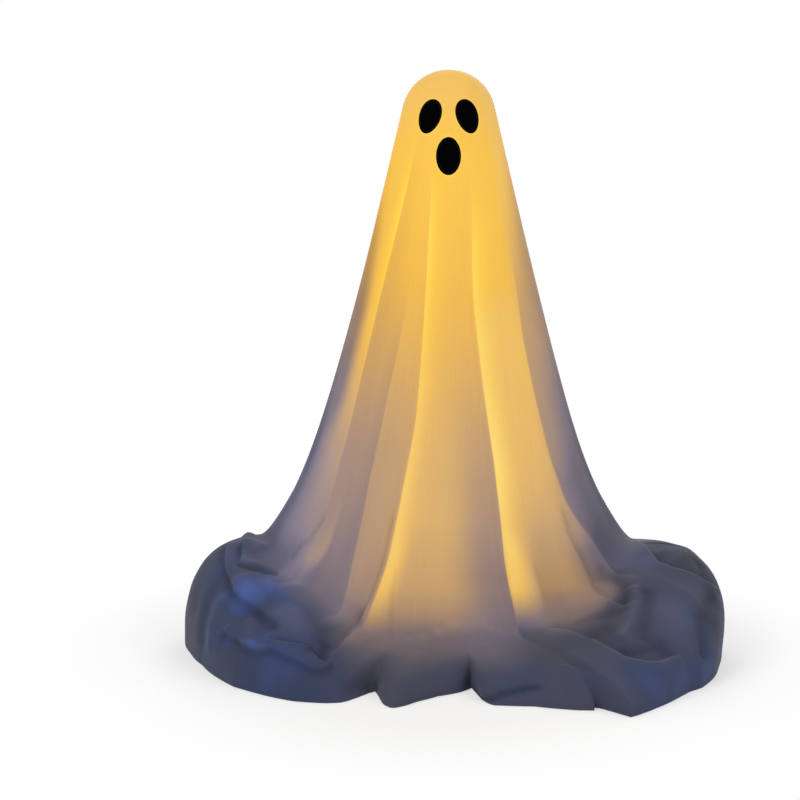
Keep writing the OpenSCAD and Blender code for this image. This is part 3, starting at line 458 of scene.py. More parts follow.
# Lean of the skirt in degrees, and how far and how high its foot sweeps out, at the sides and in front
SIDE_SKIRT = (13.5, 0.8, 0.2)
FRONT_SKIRT = (7.5, 0.06, 0.1)
CLOTH_THICKNESS, CLOTH_LIFT, SEAM_DEPTH = 0.0016, 0.002, 0.003


def mix(a, b, t):
    return a + (b - a) * t


def ease(value, start, end):
    """0 up to start, 1 past end and smooth between them; start may be the larger one."""
    s = np.clip((value - start) / (end - start), 0, 1)
    return s * s * (3 - 2 * s)


def bell(gap, reach):
    return np.exp(-(gap / reach) ** 2)


def wrap(angle):
    return (angle + 180) % 360 - 180


def along(table, place):
    return np.interp(place, *zip(*table))


def profile(z, lean, sweep, fade):
    lean = math.radians(lean)
    tangent = HEAD_CENTRE + HEAD_RADIUS * math.sin(lean)
    ball = np.sqrt(np.maximum(0, HEAD_RADIUS ** 2 - (z - HEAD_CENTRE) ** 2))
    cone = (HEAD_RADIUS * math.cos(lean) + math.tan(lean) * (tangent - z)
            + sweep * (np.exp(-z / fade) - math.exp(-tangent / fade)))
    return np.where(z >= tangent, ball, cone)


def oval(a, b, angle):
    turn = np.radians(angle)
    return a * b / np.sqrt((b * np.sin(turn)) ** 2 + (a * np.cos(turn)) ** 2)


# Main folds of each panel: angle by height, side of the steep flank as seen (1 left, -1 right), relief,
# glow gained on the gentle flank at the top and the foot, glow lost beside the steep one at the top and
# the foot, the widths of both in degrees, and the height where the fold starts
Fold = namedtuple("Fold", "line side relief gain_top gain_foot loss_top loss_foot lit_width dark_width start")
FRONT_FOLDS = (
    Fold([(0.4, -60.5), (0.69, -58.5), (0.82, -57), (0.96, -55.5), (1.09, -53.5), (1.22, -51.5),
          (1.36, -48.5), (1.49, -45), (1.62, -41), (1.76, -37)],
         -1, 0.018, 0.18, -0.05, 0.06, 0.02, 9, 10, 1.85),
    Fold([(0.31, -59), (0.36, -57), (0.42, -55.5), (0.62, -55)], -1, 0.010, 0.0, 0.15, 0.0, 0.04, 6, 4, 0.66),
    Fold([(0.38, -44.5), (0.53, -43.5), (0.63, -43), (0.73, -41.5), (0.83, -40), (0.93, -38.5), (1.03, -36),
          (1.13, -33.5), (1.35, -30)], 1, 0.006, 0.06, 0.05, 0.06, 0.06, 6, 7, 1.35),
    Fold([(0.18, -35), (0.25, -33), (0.31, -30.5), (0.38, -28.5), (0.51, -26), (0.61, -24), (0.70, -22),
          (0.83, -19), (0.97, -18), (1.23, -17), (1.60, -17)], 1, 0.020, 0.17, 0.27, 0.02, 0.11, 7, 10, 1.75),
    Fold([(0.14, 30.5), (0.25, 29.4), (0.31, 28.1), (0.38, 27.4), (0.51, 27), (0.70, 25.5), (0.83, 23.5),
          (0.97, 21.5), (1.10, 20), (1.23, 18.5), (1.36, 19.5), (1.54, 22)],
         1, 0.026, 0.17, 0.42, 0.04, 0.28, 11, 20, 1.68),
    Fold([(0.40, 66), (0.44, 64), (0.49, 61.5), (0.56, 58.5), (0.63, 57.5), (0.70, 56), (0.83, 55),
          (0.97, 54), (1.10, 53.5), (1.29, 55.5)], -1, 0.020, 0.02, 0.02, 0.20, 0.14, 8, 16, 1.45),
)
BACK_FOLDS = (
    Fold([(0.4, 108), (1.5, 103)], 1, 0.022, 0.08, 0.12, 0.04, 0.10, 8, 10, 1.5),
    Fold([(0.4, 133), (1.5, 138)], -1, 0.024, 0.12, 0.18, 0.04, 0.16, 7, 12, 1.6),
    Fold([(0.2, 157), (1.5, 164)], 1, 0.026, 0.14, 0.26, 0.04, 0.20, 7, 12, 1.6),
    Fold([(0.2, 199), (1.5, 195)], 1, 0.024, 0.14, 0.28, 0.04, 0.24, 7, 14, 1.6),
    Fold([(0.4, 233), (1.5, 229)], -1, 0.024, 0.10, 0.14, 0.04, 0.12, 8, 10, 1.6),
    Fold([(0.4, 263), (1.5, 259)], 1, 0.020, 0.08, 0.10, 0.04, 0.08, 8, 10, 1.5),
)
FOLDS = FRONT_FOLDS + BACK_FOLDS
SHORT_FOLD = 0.8
STEEP_FLANK, GENTLE_FLANK = 2.2, 13
FOLD_RUN = 0.9
FOOT_RELIEF, FOOT_RELIEF_ENDS = 0.35, (0.08, 0.33)


def fold_offset(angle, z, fold):
    return wrap(angle - along(fold.line, z)) * fold.side


def fold_relief(angle, z):
    best = np.zeros_like(angle)
    for fold in FOLDS:
        offset = fold_offset(angle, z, fold)
        shape = bell(offset, np.where(offset < 0, STEEP_FLANK, GENTLE_FLANK))
        best = np.maximum(best, fold.relief * ease(z, fold.start, fold.start - FOLD_RUN) * shape)
    return best * mix(FOOT_RELIEF, 1.0, ease(z, *FOOT_RELIEF_ENDS))


def skirt_radius(angle, z):
    return oval(profile(z, *SIDE_SKIRT), profile(z, *FRONT_SKIRT), angle) + fold_relief(angle, z)


# Hem on the floor: radius by angle from a panel's middle, with its notches and its loose corner
HEM = ((-90, 0.93), (-78, 0.895), (-70, 0.878), (-62, 0.878), (-51, 0.882), (-43, 0.866), (-34, 0.852),
       (-27, 0.815), (-24, 0.785), (-22.4, 0.70), (-21.3, 0.63), (-18.2, 0.68), (-14.7, 0.76), (-12.2, 0.79),
       (-9.6, 0.755), (-7.6, 0.71), (-2.6, 0.64), (3.8, 0.595), (8.4, 0.55), (9.4, 0.70), (10.8, 0.743),
       (20, 0.785), (27.3, 0.875), (30.1, 0.90), (31.4, 0.875), (32.2, 0.92), (33.2, 1.01), (35.3, 1.005),
       (41, 0.982), (53.6, 0.955), (57.5, 0.966), (61, 0.963), (66, 0.960), (72, 0.956), (82, 0.95),
       (90, 0.945))
BACK_HEM, HEM_JOINS = 0.97, (90, 112)
FRONT_PILE, SIDE_PILE, SIDE_FULLNESS = 0.095, 0.385, 0.79
SIDE_BULGE, BULGE_ZONE = 0.035, (0.75, 0.95)
REAR_DROP, REAR_FROM, REAR_TO = 0.012, (80, 90), (150, 110)


def from_middle(angle):
    """Angle from a panel's middle, the same on both sides of a seam."""
    return np.where(np.abs(wrap(angle)) <= 90, wrap(angle), wrap(180 - angle))


def hem_radius(angle):
    """The back panel's hem is the front one's, a little smaller, and meets it at the seams."""
    front = along(HEM, np.clip(wrap(angle), -90, 90))
    back = along(HEM, wrap(angle - 180)) * BACK_HEM
    return mix(front, back, ease(np.abs(wrap(angle)), *HEM_JOINS))


def pile_top(angle):
    """Height of the pile, a little less behind the right-hand seam."""
    behind = ease(wrap(angle), *REAR_FROM) * ease(wrap(angle), *REAR_TO)
    return mix(FRONT_PILE, SIDE_PILE, np.abs(np.sin(np.radians(angle))) ** 3) - REAR_DROP * behind


def drape_point(angle, v):
    """v runs from the head's top, past 1 at its end and 2 at the pile's start, to 3 at the hem."""
    foot = pile_top(angle)
    z = np.where(v < 1, HEAD_CENTRE + HEAD_RADIUS * np.cos(np.radians(DOME_ANGLE * v)),
                 mix(DOME_END, foot, np.clip(v - 1, 0, 1)))
    turn = np.radians(angle)
    over = np.pi / 2 * np.clip(v - 2, 0, 1)
    fullness = mix(1.0, SIDE_FULLNESS, np.sin(turn) ** 2)
    pile_r = mix(skirt_radius(angle, foot), hem_radius(angle), np.sin(over) ** fullness)
    pile_r = pile_r + SIDE_BULGE * np.sin(2 * over) * ease(np.sin(turn), *BULGE_ZONE)
    pile_z = mix(CLOTH_LIFT, foot, np.maximum(np.cos(over), 0) ** fullness)
    r = np.where(v < 2, skirt_radius(angle, z), pile_r)
    return np.stack([r * np.sin(turn), -r * np.cos(turn), np.where(v < 2, z, pile_z)], -1)


# Overlaps of the pile, by angle from the panel's middle and v: the side that lies on top as one follows the
# line, its lift, the dip beside it, the reach of both, the depth of the painted shadow in the gap under the
# edge and the strength of the painted highlight along the edge
OVERLAPS = (
    ([(-86, 2.27), (-81.5, 2.318), (-73, 2.364), (-65.2, 2.398), (-61.2, 2.398), (-58, 2.386),
      (-54.5, 2.375), (-49.2, 2.375)], 1, 0.013, 0.015, 0.05, 0.045, 0.46, 0.08),
    ([(-81.3, 2.16), (-74.9, 2.216), (-72.8, 2.25), (-70.3, 2.205), (-68.6, 2.159), (-66.8, 2.114),
      (-65.2, 2.057)], 1, 0.014, 0.010, 0.04, 0.018, 0.5, 0.0),
    ([(-58.7, 2.682), (-53.9, 2.648), (-51.4, 2.648), (-48.6, 2.636), (-45.6, 2.58), (-42.6, 2.557),
      (-35.1, 2.557), (-32.6, 2.58), (-30.2, 2.523)], 1, 0.010, 0.012, 0.03, 0.045, 0.32, 0.2),
    ([(-46.8, 2.5), (-44, 2.466), (-41.3, 2.432), (-38.5, 2.40), (-36, 2.41), (-32.6, 2.46), (-29.7, 2.523)],
     -1, 0.006, 0.010, 0.02, 0.016, 0.34, 0.06),
    ([(-36.5, 1.975), (-37.2, 2.02), (-34.6, 2.125), (-32.6, 2.284), (-33, 2.352), (-31.6, 2.466)],
     1, 0.010, 0.012, 0.05, 0.05, 0.22, 0.12),
    ([(-20, 1.99), (-8, 1.975), (4, 1.955), (15, 1.95), (26, 1.985)],
     -1, 0.003, 0.002, 0.04, 0.03, 0.06, 0.22),
    ([(39, 2.06), (40.5, 2.125), (40.6, 2.216), (41.2, 2.295), (41, 2.398), (41.3, 2.455), (41.8, 2.534),
      (43.7, 2.602), (46.6, 2.659), (51, 2.69)], -1, 0.012, 0.015, 0.06, 0.05, 0.32, 0.28),
    ([(30.1, 2.409), (31.5, 2.489), (31.8, 2.56)], -1, 0.004, 0.004, 0.02, 0.02, 0.08, 0.14),
    ([(56.3, 1.847), (56.5, 1.884), (57.7, 1.919), (58.6, 1.949), (58.9, 1.986), (55.9, 2.057),
      (54.9, 2.125), (53.5, 2.216)], -1, 0.010, 0.012, 0.05, 0.03, 0.2, 0.1),
    ([(53.5, 2.23), (50, 2.182), (48.2, 2.125), (44.8, 2.102)], -1, 0.008, 0.010, 0.05, 0.03, 0.22, 0.1),
    ([(8.5, 2.97), (9.6, 2.90), (13, 2.75), (17.8, 2.693), (21.7, 2.659)],
     1, 0.008, 0.012, 0.04, 0.03, 0.45, 0.05),
    ([(40.6, 1.90), (41.4, 1.934), (42, 1.963)], -1, 0.004, 0.004, 0.03, 0.03, 0.12, 0.0),
    ([(84.8, 2.05), (78, 2.12), (74.2, 2.17), (73.6, 2.239), (75.2, 2.341), (76.5, 2.455), (80, 2.55)],
     -1, 0.010, 0.028, 0.05, 0.08, 0.55, 0.0),
)
# Rolls (lift above 0), hollows (below 0) and flat patches (0) that carry only painted shade: line, lift,
# reach, and painted shade, a painted highlight below 0
ROLLS = (
    ([(-88, 2.08), (-83, 2.10), (-78, 2.05)], 0.022, 0.030, 0.0),
    ([(-66, 2.31), (-62, 2.28), (-60, 2.20)], 0.012, 0.05, -0.2),
    ([(-37.5, 2.42), (-34.7, 2.40), (-36, 2.28)], -0.010, 0.022, 0.26),
    ([(-51, 2.33), (-45.8, 2.33), (-42, 2.30)], 0.008, 0.045, -0.2),
    ([(-55, 2.455), (-51.4, 2.557), (-49.8, 2.60)], 0.004, 0.022, -0.14),
    ([(-40, 2.20), (-37, 2.30)], -0.008, 0.035, 0.12),
    ([(-75, 2.78), (-58, 2.80), (-44, 2.78), (-30, 2.84)], 0.0, 0.12, 0.16),
    ([(60.8, 2.148), (57.3, 2.216), (54.1, 2.284), (51.1, 2.33), (48.1, 2.352), (46, 2.364)],
     0.014, 0.020, -0.3),
    ([(61.3, 2.216), (57.4, 2.295), (52.8, 2.386), (48.8, 2.466)], -0.010, 0.026, 0.24),
    ([(64.5, 2.02), (61, 2.10), (58.3, 2.148), (55.8, 2.19)], -0.014, 0.030, 0.40),
    ([(-67.5, 2.5), (-66.5, 2.62), (-66.3, 2.74), (-65, 2.87)], 0.006, 0.030, -0.1),
    ([(-73, 2.5), (-72, 2.65), (-71.5, 2.8), (-71, 2.9)], -0.006, 0.034, 0.1),
    ([(-58, 2.12), (-52, 2.18)], 0.004, 0.05, -0.16),
    ([(42.6, 2.44), (44.9, 2.50), (49.1, 2.55), (51.4, 2.59)], -0.014, 0.030, 0.26),
    ([(43, 2.22), (46, 2.26)], -0.008, 0.034, 0.16),
    ([(60, 2.40), (58, 2.52), (56, 2.64)], 0.004, 0.08, -0.14),
    ([(79.9, 2.60), (68.4, 2.56), (62.7, 2.585), (60.2, 2.693), (58.8, 2.795)], -0.012, 0.032, 0.34),
    ([(82, 2.17), (81.6, 2.26), (84, 2.36), (84, 2.46)], -0.004, 0.05, 0.25),
    ([(-21.5, 2.99), (-23, 2.75), (-26, 2.6)], -0.010, 0.030, 0.10),
    ([(-86, 2.5), (-82, 2.62), (-78, 2.75)], -0.004, 0.05, 0.2),
    ([(-59.8, 1.866), (-62.6, 1.919), (-65.6, 1.949), (-66.5, 1.975)], -0.005, 0.010, 0.16),
    ([(-25.1, 1.884), (-25.7, 1.919), (-25.4, 1.975), (-24.2, 2.0)], -0.002, 0.008, 0.10),
    ([(-29, 1.78), (-31.2, 1.85), (-33.2, 1.90), (-35.5, 1.95), (-38, 1.99)], -0.002, 0.006, 0.18),
    ([(27.4, 1.76), (28.2, 1.86), (29, 1.93), (30, 1.99)], -0.002, 0.006, 0.10),
    ([(94, 2.34), (98, 2.42), (103, 2.50)], 0.007, 0.045, 0.4),
    ([(83, 2.31), (88, 2.40)], 0.0, 0.04, 0.2),
    ([(63.5, 1.98), (61.8, 2.0)], -0.004, 0.022, 0.28),
    ([(77, 2.56), (74.9, 2.61), (70, 2.68), (66.4, 2.74)], 0.0, 0.05, 0.34),
    ([(86, 2.27), (86.5, 2.33), (84.8, 2.41)], 0.0, 0.03, 0.42),
    ([(-52.5, 2.64), (-49.4, 2.625), (-47.7, 2.622), (-45.9, 2.585)], 0.0, 0.012, -0.38),
)
FRONT_ONLY = 75
EDGE_WIDTH, PAINTED_SHADOW_REACH = 0.008, 0.6
LINE_STEPS, END_CUT = 14, 0.8
PILE_FROM, HEM_FADE = 1.75, (3.0, 2.88)


def pile_lines(lines):
    """Each line of the front panel, and those away from the seams again on the back panel."""
    for line in lines:
        yield 0, line
        if max(abs(angle) for angle, _ in line[0]) < FRONT_ONLY:
            yield 180, line


def cloth_normals(points):
    normal = np.cross(np.gradient(points, axis=0), np.gradient(points, axis=1))
    return normal / np.maximum(np.linalg.norm(normal, axis=2, keepdims=True), 1e-9)


def to_line(points, normal, line, middle):
    """Distance from points to a line on the drape, and how far they are on its left."""
    fine = np.linspace(0, len(line) - 1, LINE_STEPS * (len(line) - 1) + 1)
    angle, v = (np.interp(fine, np.arange(len(line)), values) for values in zip(*line))
    path = drape_point(middle + angle, v)
    gap = points[:, None, :] - path[None]
    length = np.linalg.norm(gap, axis=2)
    nearest = length.argmin(1)
    step = np.gradient(path, axis=0)
    step /= np.linalg.norm(step, axis=1, keepdims=True)
    away = gap[np.arange(len(points)), nearest]
    side = np.einsum("ij,ij->i", np.cross(step[nearest], away), normal)
    past_end = np.einsum("ij,ij->i", away, step[nearest])
    past_end = np.where((nearest == 0) | (nearest == len(path) - 1), np.abs(past_end), 0)
    return length.min(1) + END_CUT * past_end, side


def lay_pile(points, v):
    """Adds the overlaps and rolls to a panel, and returns it with each point's painted shade from the gaps
    and hollows, a painted highlight below 0.
    """
    normal = cloth_normals(points)
    pile = v > PILE_FROM
    here, out = points[pile], normal[pile]
    lift = np.zeros(len(here))
    dark = np.zeros(len(here))
    for middle, (line, top_side, up, down, reach_up, reach_down, shade, edge) in pile_lines(OVERLAPS):
        length, side = to_line(here, out, line, middle)
        on_top = 0.5 + 0.5 * np.tanh(side * top_side / EDGE_WIDTH)
        lift += up * bell(length, reach_up) * on_top
        lift -= down * bell(length, reach_down) * (1 - on_top)
        # Painted shadow in the gap under the edge, and a painted highlight along the edge
        dark += shade * bell(length, PAINTED_SHADOW_REACH * reach_down) * (1 - on_top)
        dark -= edge * bell(length, EDGE_WIDTH) * on_top
    for middle, (line, up, reach, shade) in pile_lines(ROLLS):
        length, _ = to_line(here, out, line, middle)
        lift += up * bell(length, reach)
        # Painted shade in the hollows and flat patches, a painted highlight below 0
        dark += shade * bell(length, reach)
    moved = points.copy()
    moved[pile] += out * (lift * ease(v[pile], *HEM_FADE))[:, None]
    shades = np.zeros(v.shape)
    shades[pile] = dark
    return moved, shades


# Small soft folds: height, the v where they start and its run until they are full, and waves per metre.
# Those of the skirt go round the figure and are long, and those of the pile fade out at the hem.
SKIRT_WAVE, SKIRT_WAVE_FROM, SKIRT_WAVE_RUN = 0.006, 1.15, 0.5
WAVES_ROUND, WAVES_DOWN = 5.5, 0.9
PILE_WAVE, FINE_WAVE, PILE_WAVE_FROM, PILE_WAVE_RUN, PILE_WAVE_END = 0.009, 0.002, 1.9, 0.3, 0.1
PILE_WAVES, FINE_WAVES, FINE_SHIFT = (4.5, 4.5, 5), (11, 11, 13), Vector((0, 0, 7))


def soften(points, angle, v):
    amount = np.zeros(v.shape)
    for i, j in np.argwhere(v > SKIRT_WAVE_FROM):
        turn = math.radians(angle[i, j])
        place = points[i, j]
        run = Vector((math.sin(turn) * WAVES_ROUND, math.cos(turn) * WAVES_ROUND, place[2] * WAVES_DOWN))
        grown = min(1, (v[i, j] - SKIRT_WAVE_FROM) / SKIRT_WAVE_RUN)
        amount[i, j] = SKIRT_WAVE * grown * noise.noise(run)
        if v[i, j] > PILE_WAVE_FROM:
            grown = min(1, (v[i, j] - PILE_WAVE_FROM) / PILE_WAVE_RUN)
            grown *= min(1, (3.0 - v[i, j]) / PILE_WAVE_END)
            big = noise.noise(Vector(place * PILE_WAVES))
            small = noise.noise(Vector(place * FINE_WAVES) + FINE_SHIFT)
            amount[i, j] += grown * (PILE_WAVE * big + FINE_WAVE * small)
    return points + cloth_normals(points) * amount[..., None]


# Painted glow of the lamps through the cloth, from 0 in the pile to 1 on the brightest folds: level down the
# middle by height, and the fall to both sides: where it starts and how wide it is in degrees, and its depth
LEVEL = ((0.0, 0.05), (0.03, 0.11), (0.08, 0.14), (0.13, 0.215), (0.2, 0.42), (0.28, 0.56), (0.4, 0.63),
         (0.52, 0.67), (0.66, 0.67), (0.8, 0.68), (0.94, 0.71), (1.2, 0.77), (1.35, 0.81), (1.5, 0.84),
         (1.7, 0.86), (1.85, 0.83), (2.0, 0.80))
LEFT_START = ((0.5, -64), (0.75, -64), (0.9, -60), (1.2, -58), (1.4, -58), (1.6, -62))
LEFT_WIDTH = ((0.75, 20), (0.9, 14), (1.2, 14), (1.4, 20))
LEFT_DEPTH = ((0.3, 0.45), (0.62, 0.43), (0.75, 0.50), (0.95, 0.56), (1.2, 0.53), (1.4, 0.36), (1.5, 0.22),
              (1.6, 0.08), (1.8, 0.0))
RIGHT_START = ((0.38, 51), (0.47, 50), (0.62, 49), (0.95, 49), (1.1, 48), (1.4, 45), (1.7, 58))
RIGHT_WIDTH = ((0.38, 14), (0.47, 26), (0.62, 26), (0.75, 32), (0.95, 34), (1.4, 38), (1.7, 32))
RIGHT_DEPTH = ((0.38, 0.64), (0.47, 0.66), (0.62, 0.70), (0.75, 0.69), (0.9, 0.65), (1.05, 0.56), (1.4, 0.41),
               (1.6, 0.28), (1.8, 0.06))
# Longer fall left of the main fold: its depth, the lead of its start and its width in degrees
MAIN_FOLD = FRONT_FOLDS[3]
LEFT_FALL = ((0.2, 0.64), (0.28, 0.54), (0.36, 0.48), (0.52, 0.44), (0.75, 0.33), (0.95, 0.22), (1.1, 0.14),
             (1.3, 0.08), (1.6, 0.04), (1.8, 0.0))
FALL_LEAD, FALL_WIDTH = 4, 26
# Share of the level that is left behind the right-hand main fold, and, by angle, the v where the glow ends
# on the pile and its run up to there
RIGHT_FOLD = FRONT_FOLDS[4]
BEHIND_EDGE = (-0.5, 0.5)
BEHIND_FOLD = ((0.155, 0.52), (0.2, 0.56), (0.25, 0.65), (0.29, 0.76), (0.38, 0.8), (0.5, 0.84), (0.65, 1.04),
               (0.8, 1.07), (1.05, 1.07), (1.25, 1.0))
GLOW_END = ((-40, 2.36), (-22, 3.0), (18, 3.0), (28, 2.5), (36, 2.36), (42, 2.4), (48, 2.34), (54, 2.24),
            (62, 2.24))
GLOW_FADE = ((-40, 0.46), (-22, 1.0), (18, 1.0), (28, 0.6), (36, 0.4), (42, 0.4), (48, 0.34), (54, 0.2),
             (62, 0.26))
# Shaded zones at the seams and at the left foot: depth, and borders by angle and by height
SEAM_SHADE, SEAM_ZONE = 0.37, ((76, 86), (0.36, 0.46), (1.2, 0.6))
LEFT_SEAM_SHADE, LEFT_SEAM_FROM = 0.5, (0.5, 0.8)
LEFT_FOOT = (0.35, (-62, -70), (0.46, 0.36))
# Light on the folds, by height: the change from the foot's values to the top's, how soft the lit side's
# edge is at the foot and above, where both sides fade out at the foot, and the turn from one to the other
FOOT_TO_TOP = (0.3, 1.15)
LIT_EDGE, LIT_EDGE_RUN, DARK_EDGE = (3.5, 1.4), (0.36, 0.5), 3
LIT_FOOT_LEFT, LIT_FOOT_RIGHT, LIT_FOOT_SHORT = (0.12, 0.30), (0.15, 0.29), (0.29, 0.38)
DARK_FOOT = (0.06, 0.34)
FOLD_GLOW_RUN, FOLD_GLOW_REACH = 0.4, 70
TURNOVER, SHORT_TURNOVER = 0.4, 1.1
SIDE_LOSS = 0.6


def zone(turn, z, strength, angles, *heights):
    """A strength in one part of the cloth, with soft borders by angle and by height."""
    for border in heights:
        strength = strength * ease(z, *border)
    return strength * ease(turn, *angles)


def fold_glow(fold, angle, z, lit_foot):
    """Light gained on the gentle flank of a fold and lost beside the steep one."""
    offset = fold_offset(angle, z, fold)
    gap = np.abs(offset)
    upper = ease(z, *FOOT_TO_TOP)
    lit_edge = mix(*LIT_EDGE, ease(z, *LIT_EDGE_RUN))
    lit = mix(fold.gain_foot, fold.gain_top, upper) * np.exp(-(gap / fold.lit_width) ** lit_edge) * lit_foot
    unlit = -mix(fold.loss_foot, fold.loss_top, upper) * np.exp(-(gap / fold.dark_width) ** DARK_EDGE)
    unlit = unlit * ease(z, *DARK_FOOT)
    turnover = TURNOVER
    if fold.start < SHORT_FOLD:
        turnover = SHORT_TURNOVER
        lit = lit * ease(z, *LIT_FOOT_SHORT)
    strong = ease(z, fold.start, fold.start - FOLD_GLOW_RUN) * (gap < FOLD_GLOW_REACH)
    return strong * mix(unlit, lit, ease(offset, -turnover, turnover))


def glow_of(angle, z, v):
    turn = from_middle(angle)
    left_start, right_start = along(LEFT_START, z), along(RIGHT_START, z)
    left = ease(turn, left_start, left_start - along(LEFT_WIDTH, z))
    right = ease(turn, right_start, right_start + along(RIGHT_WIDTH, z))
    amount = along(LEVEL, z) * (1 - along(LEFT_DEPTH, z) * left) * (1 - along(RIGHT_DEPTH, z) * right)
    fall_start = along(MAIN_FOLD.line, z) + FALL_LEAD
    amount *= 1 - along(LEFT_FALL, z) * ease(turn, fall_start, fall_start - FALL_WIDTH)
    behind = ease(turn - along(RIGHT_FOLD.line, z), *BEHIND_EDGE) * (np.abs(wrap(angle)) <= 90)
    amount *= mix(1.0, along(BEHIND_FOLD, z), behind)
    seam_shade = mix(SEAM_SHADE, LEFT_SEAM_SHADE, (turn < 0) * ease(z, *LEFT_SEAM_FROM))
    amount *= 1 - zone(np.abs(turn), z, seam_shade, *SEAM_ZONE)
    amount *= 1 - zone(turn, z, *LEFT_FOOT)
    lit_foot = np.where(turn > 0, ease(z, *LIT_FOOT_RIGHT), ease(z, *LIT_FOOT_LEFT))
    for fold in FOLDS:
        amount = amount + fold_glow(fold, angle, z, lit_foot) * (1 - SIDE_LOSS * np.maximum(left, right))
    end = along(GLOW_END, turn)
    return np.clip(amount * ease(v, end, end - along(GLOW_FADE, turn)), 0, 1)


# Share of the warmer colours of the painted lamp light: on the upper body, less on the crown and in the pale
# zones, more in the warm ones, and at the foot of the lit front and of the fold right of it. The cool zones
# are at the sides.
# A zone is its strength, and its borders by angle and by height.
WARM_BODY = (0.62, 1.32)
PALE_CROWN, CROWN = 0.45, (1.72, 1.92)
PALE_ZONES = ((0.55, (18, 23), (1.3, 1.15)), (0.6, (45, 59)), (1.0, (-55, -60), (1.05, 0.95)))
WARM_ZONES = ((0.15, (-20, -28), (1.7, 1.6), (1.15, 1.3)), (0.4, (-62, -74), (1.2, 1.4)))
COOL_ZONES = ((0.75, (-53, -65), (1.0, 0.65)), (0.35, (55, 63), (1.2, 0.9), (0.4, 0.55)))
FOOT_TOP, FOOT_WIDTH = (0.48, 0.28), (46, 34)
WARM_FOOT, FOOT_RISE, GREY_FOOT = (0.5, 0.2), (0.15, 0.25), (1.0, (1, 13), (0.27, 0.17))
WARM_TAIL, TAIL_FROM, TAIL_TO = 0.7, (38, 44), (66, 60)


def amber_of(angle, z):
    turn = from_middle(angle)
    upper = ease(z, *WARM_BODY) * (1 - PALE_CROWN * ease(z, *CROWN))
    upper *= 1 + sum(zone(turn, z, *part) for part in WARM_ZONES)
    for part in PALE_ZONES:
        upper *= 1 - zone(turn, z, *part)
    middle = mix(*WARM_FOOT, ease(z, *FOOT_RISE)) * ease(np.abs(turn), *FOOT_WIDTH)
    middle *= 1 - zone(turn, z, *GREY_FOOT)
    tail = WARM_TAIL * ease(turn, *TAIL_FROM) * ease(turn, *TAIL_TO)
    foot = ease(z, *FOOT_TOP) * np.maximum(middle, tail)
    return np.maximum(upper, foot) - sum(zone(turn, z, *part) for part in COOL_ZONES)


# Painted dusk light on the pile: bluer shade, up to a bright painted blue highlight on the folds that catch
# it, and lilac where a
# little lamp light reaches it: middle of each patch in metres, its reach and its strength
BLUE_PATCHES = (
    ((-0.665, -0.37, 0.26), 0.10, 1.0), ((-0.80, -0.29, 0.21), 0.12, 0.5), ((0.90, -0.24, 0.22), 0.10, 0.5),
    ((-0.59, -0.33, 0.29), 0.10, 0.85), ((-0.52, -0.43, 0.2), 0.14, 0.55), ((-0.62, -0.54, 0.13), 0.07, 0.72),
    ((-0.745, -0.31, 0.24), 0.06, 0.68), ((-0.71, -0.46, 0.13), 0.06, 0.7), ((-0.78, -0.18, 0.30), 0.16, 0.5),
    ((-0.55, -0.62, 0.05), 0.26, 0.62), ((0.68, -0.18, 0.36), 0.10, 0.5), ((-0.80, -0.38, 0.10), 0.20, 0.55),
    ((0.76, -0.65, 0.02), 0.16, 0.65), ((0.45, -0.70, 0.08), 0.14, 0.35), ((-0.65, -0.48, 0.13), 0.11, 0.5),
    ((-0.58, -0.51, 0.14), 0.09, 0.65), ((0.22, -0.66, 0.06), 0.14, 0.4), ((0.62, -0.70, 0.04), 0.14, 0.7),
    ((0.84, -0.52, 0.04), 0.12, 0.65), ((0.75, -0.42, 0.2), 0.20, 0.4), ((0.88, -0.25, 0.1), 0.16, 0.5),
    ((0.6, 0.55, 0.1), 0.35, 0.6), ((-0.6, 0.6, 0.1), 0.35, 0.6),
)
LILAC_PATCHES = (
    ((0.72, -0.44, 0.22), 0.15, 1.0), ((0.66, -0.2, 0.36), 0.12, 1.1), ((-0.86, -0.2, 0.2), 0.12, 0.7),
    ((-0.68, -0.21, 0.35), 0.07, 1.1), ((-0.5, -0.43, 0.19), 0.11, 1.2),
)
LEAST_BLUE = 0.15
LILAC_GLOW, LILAC_COOLS = 0.09, 0.6
CROWN_GLOW, CROWN_AMBER = 0.8, 0.55


def patches_of(points, patches, least=0.0):
    amount = np.full(points.shape[:2], least)
    for middle, reach, strength in patches:
        amount = np.maximum(amount, strength * bell(np.linalg.norm(points - np.array(middle), axis=2), reach))
    return amount


# Rows and columns of the panels: count of rows on the head, the skirt and the pile, how much they crowd
# towards the floor, and how much the columns crowd beside the folds, as these lie at one level
HEAD_ROWS, SKIRT_ROWS, PILE_ROWS, ROW_CROWDING = 12, 42, 88, 1.4
FRONT_COLUMNS, BACK_COLUMNS = 340, 260
COLUMN_CROWDING, CROWDED_ZONE, FOLD_LEVEL = 1.2, 3.5, 0.7
COLUMN_STEPS, FOLLOW_PASSES = 2001, 3
BEND_ROWS, BEND_PASSES = (1.9, 2.14), 10
WEAVE_RADIUS = 0.45


def panel_columns(folds, middle, count):
    """Places across a panel, closer together beside its folds."""
    fine = np.linspace(-90, 90, COLUMN_STEPS)
    density = np.ones_like(fine)
    for fold in folds:
        density += COLUMN_CROWDING * bell(fine - wrap(along(fold.line, FOLD_LEVEL) - middle), CROWDED_ZONE)
    share = np.cumsum(density)
    share = (share - share[0]) / (share[-1] - share[0])
    return np.interp(np.linspace(0, 1, count), share, fine)


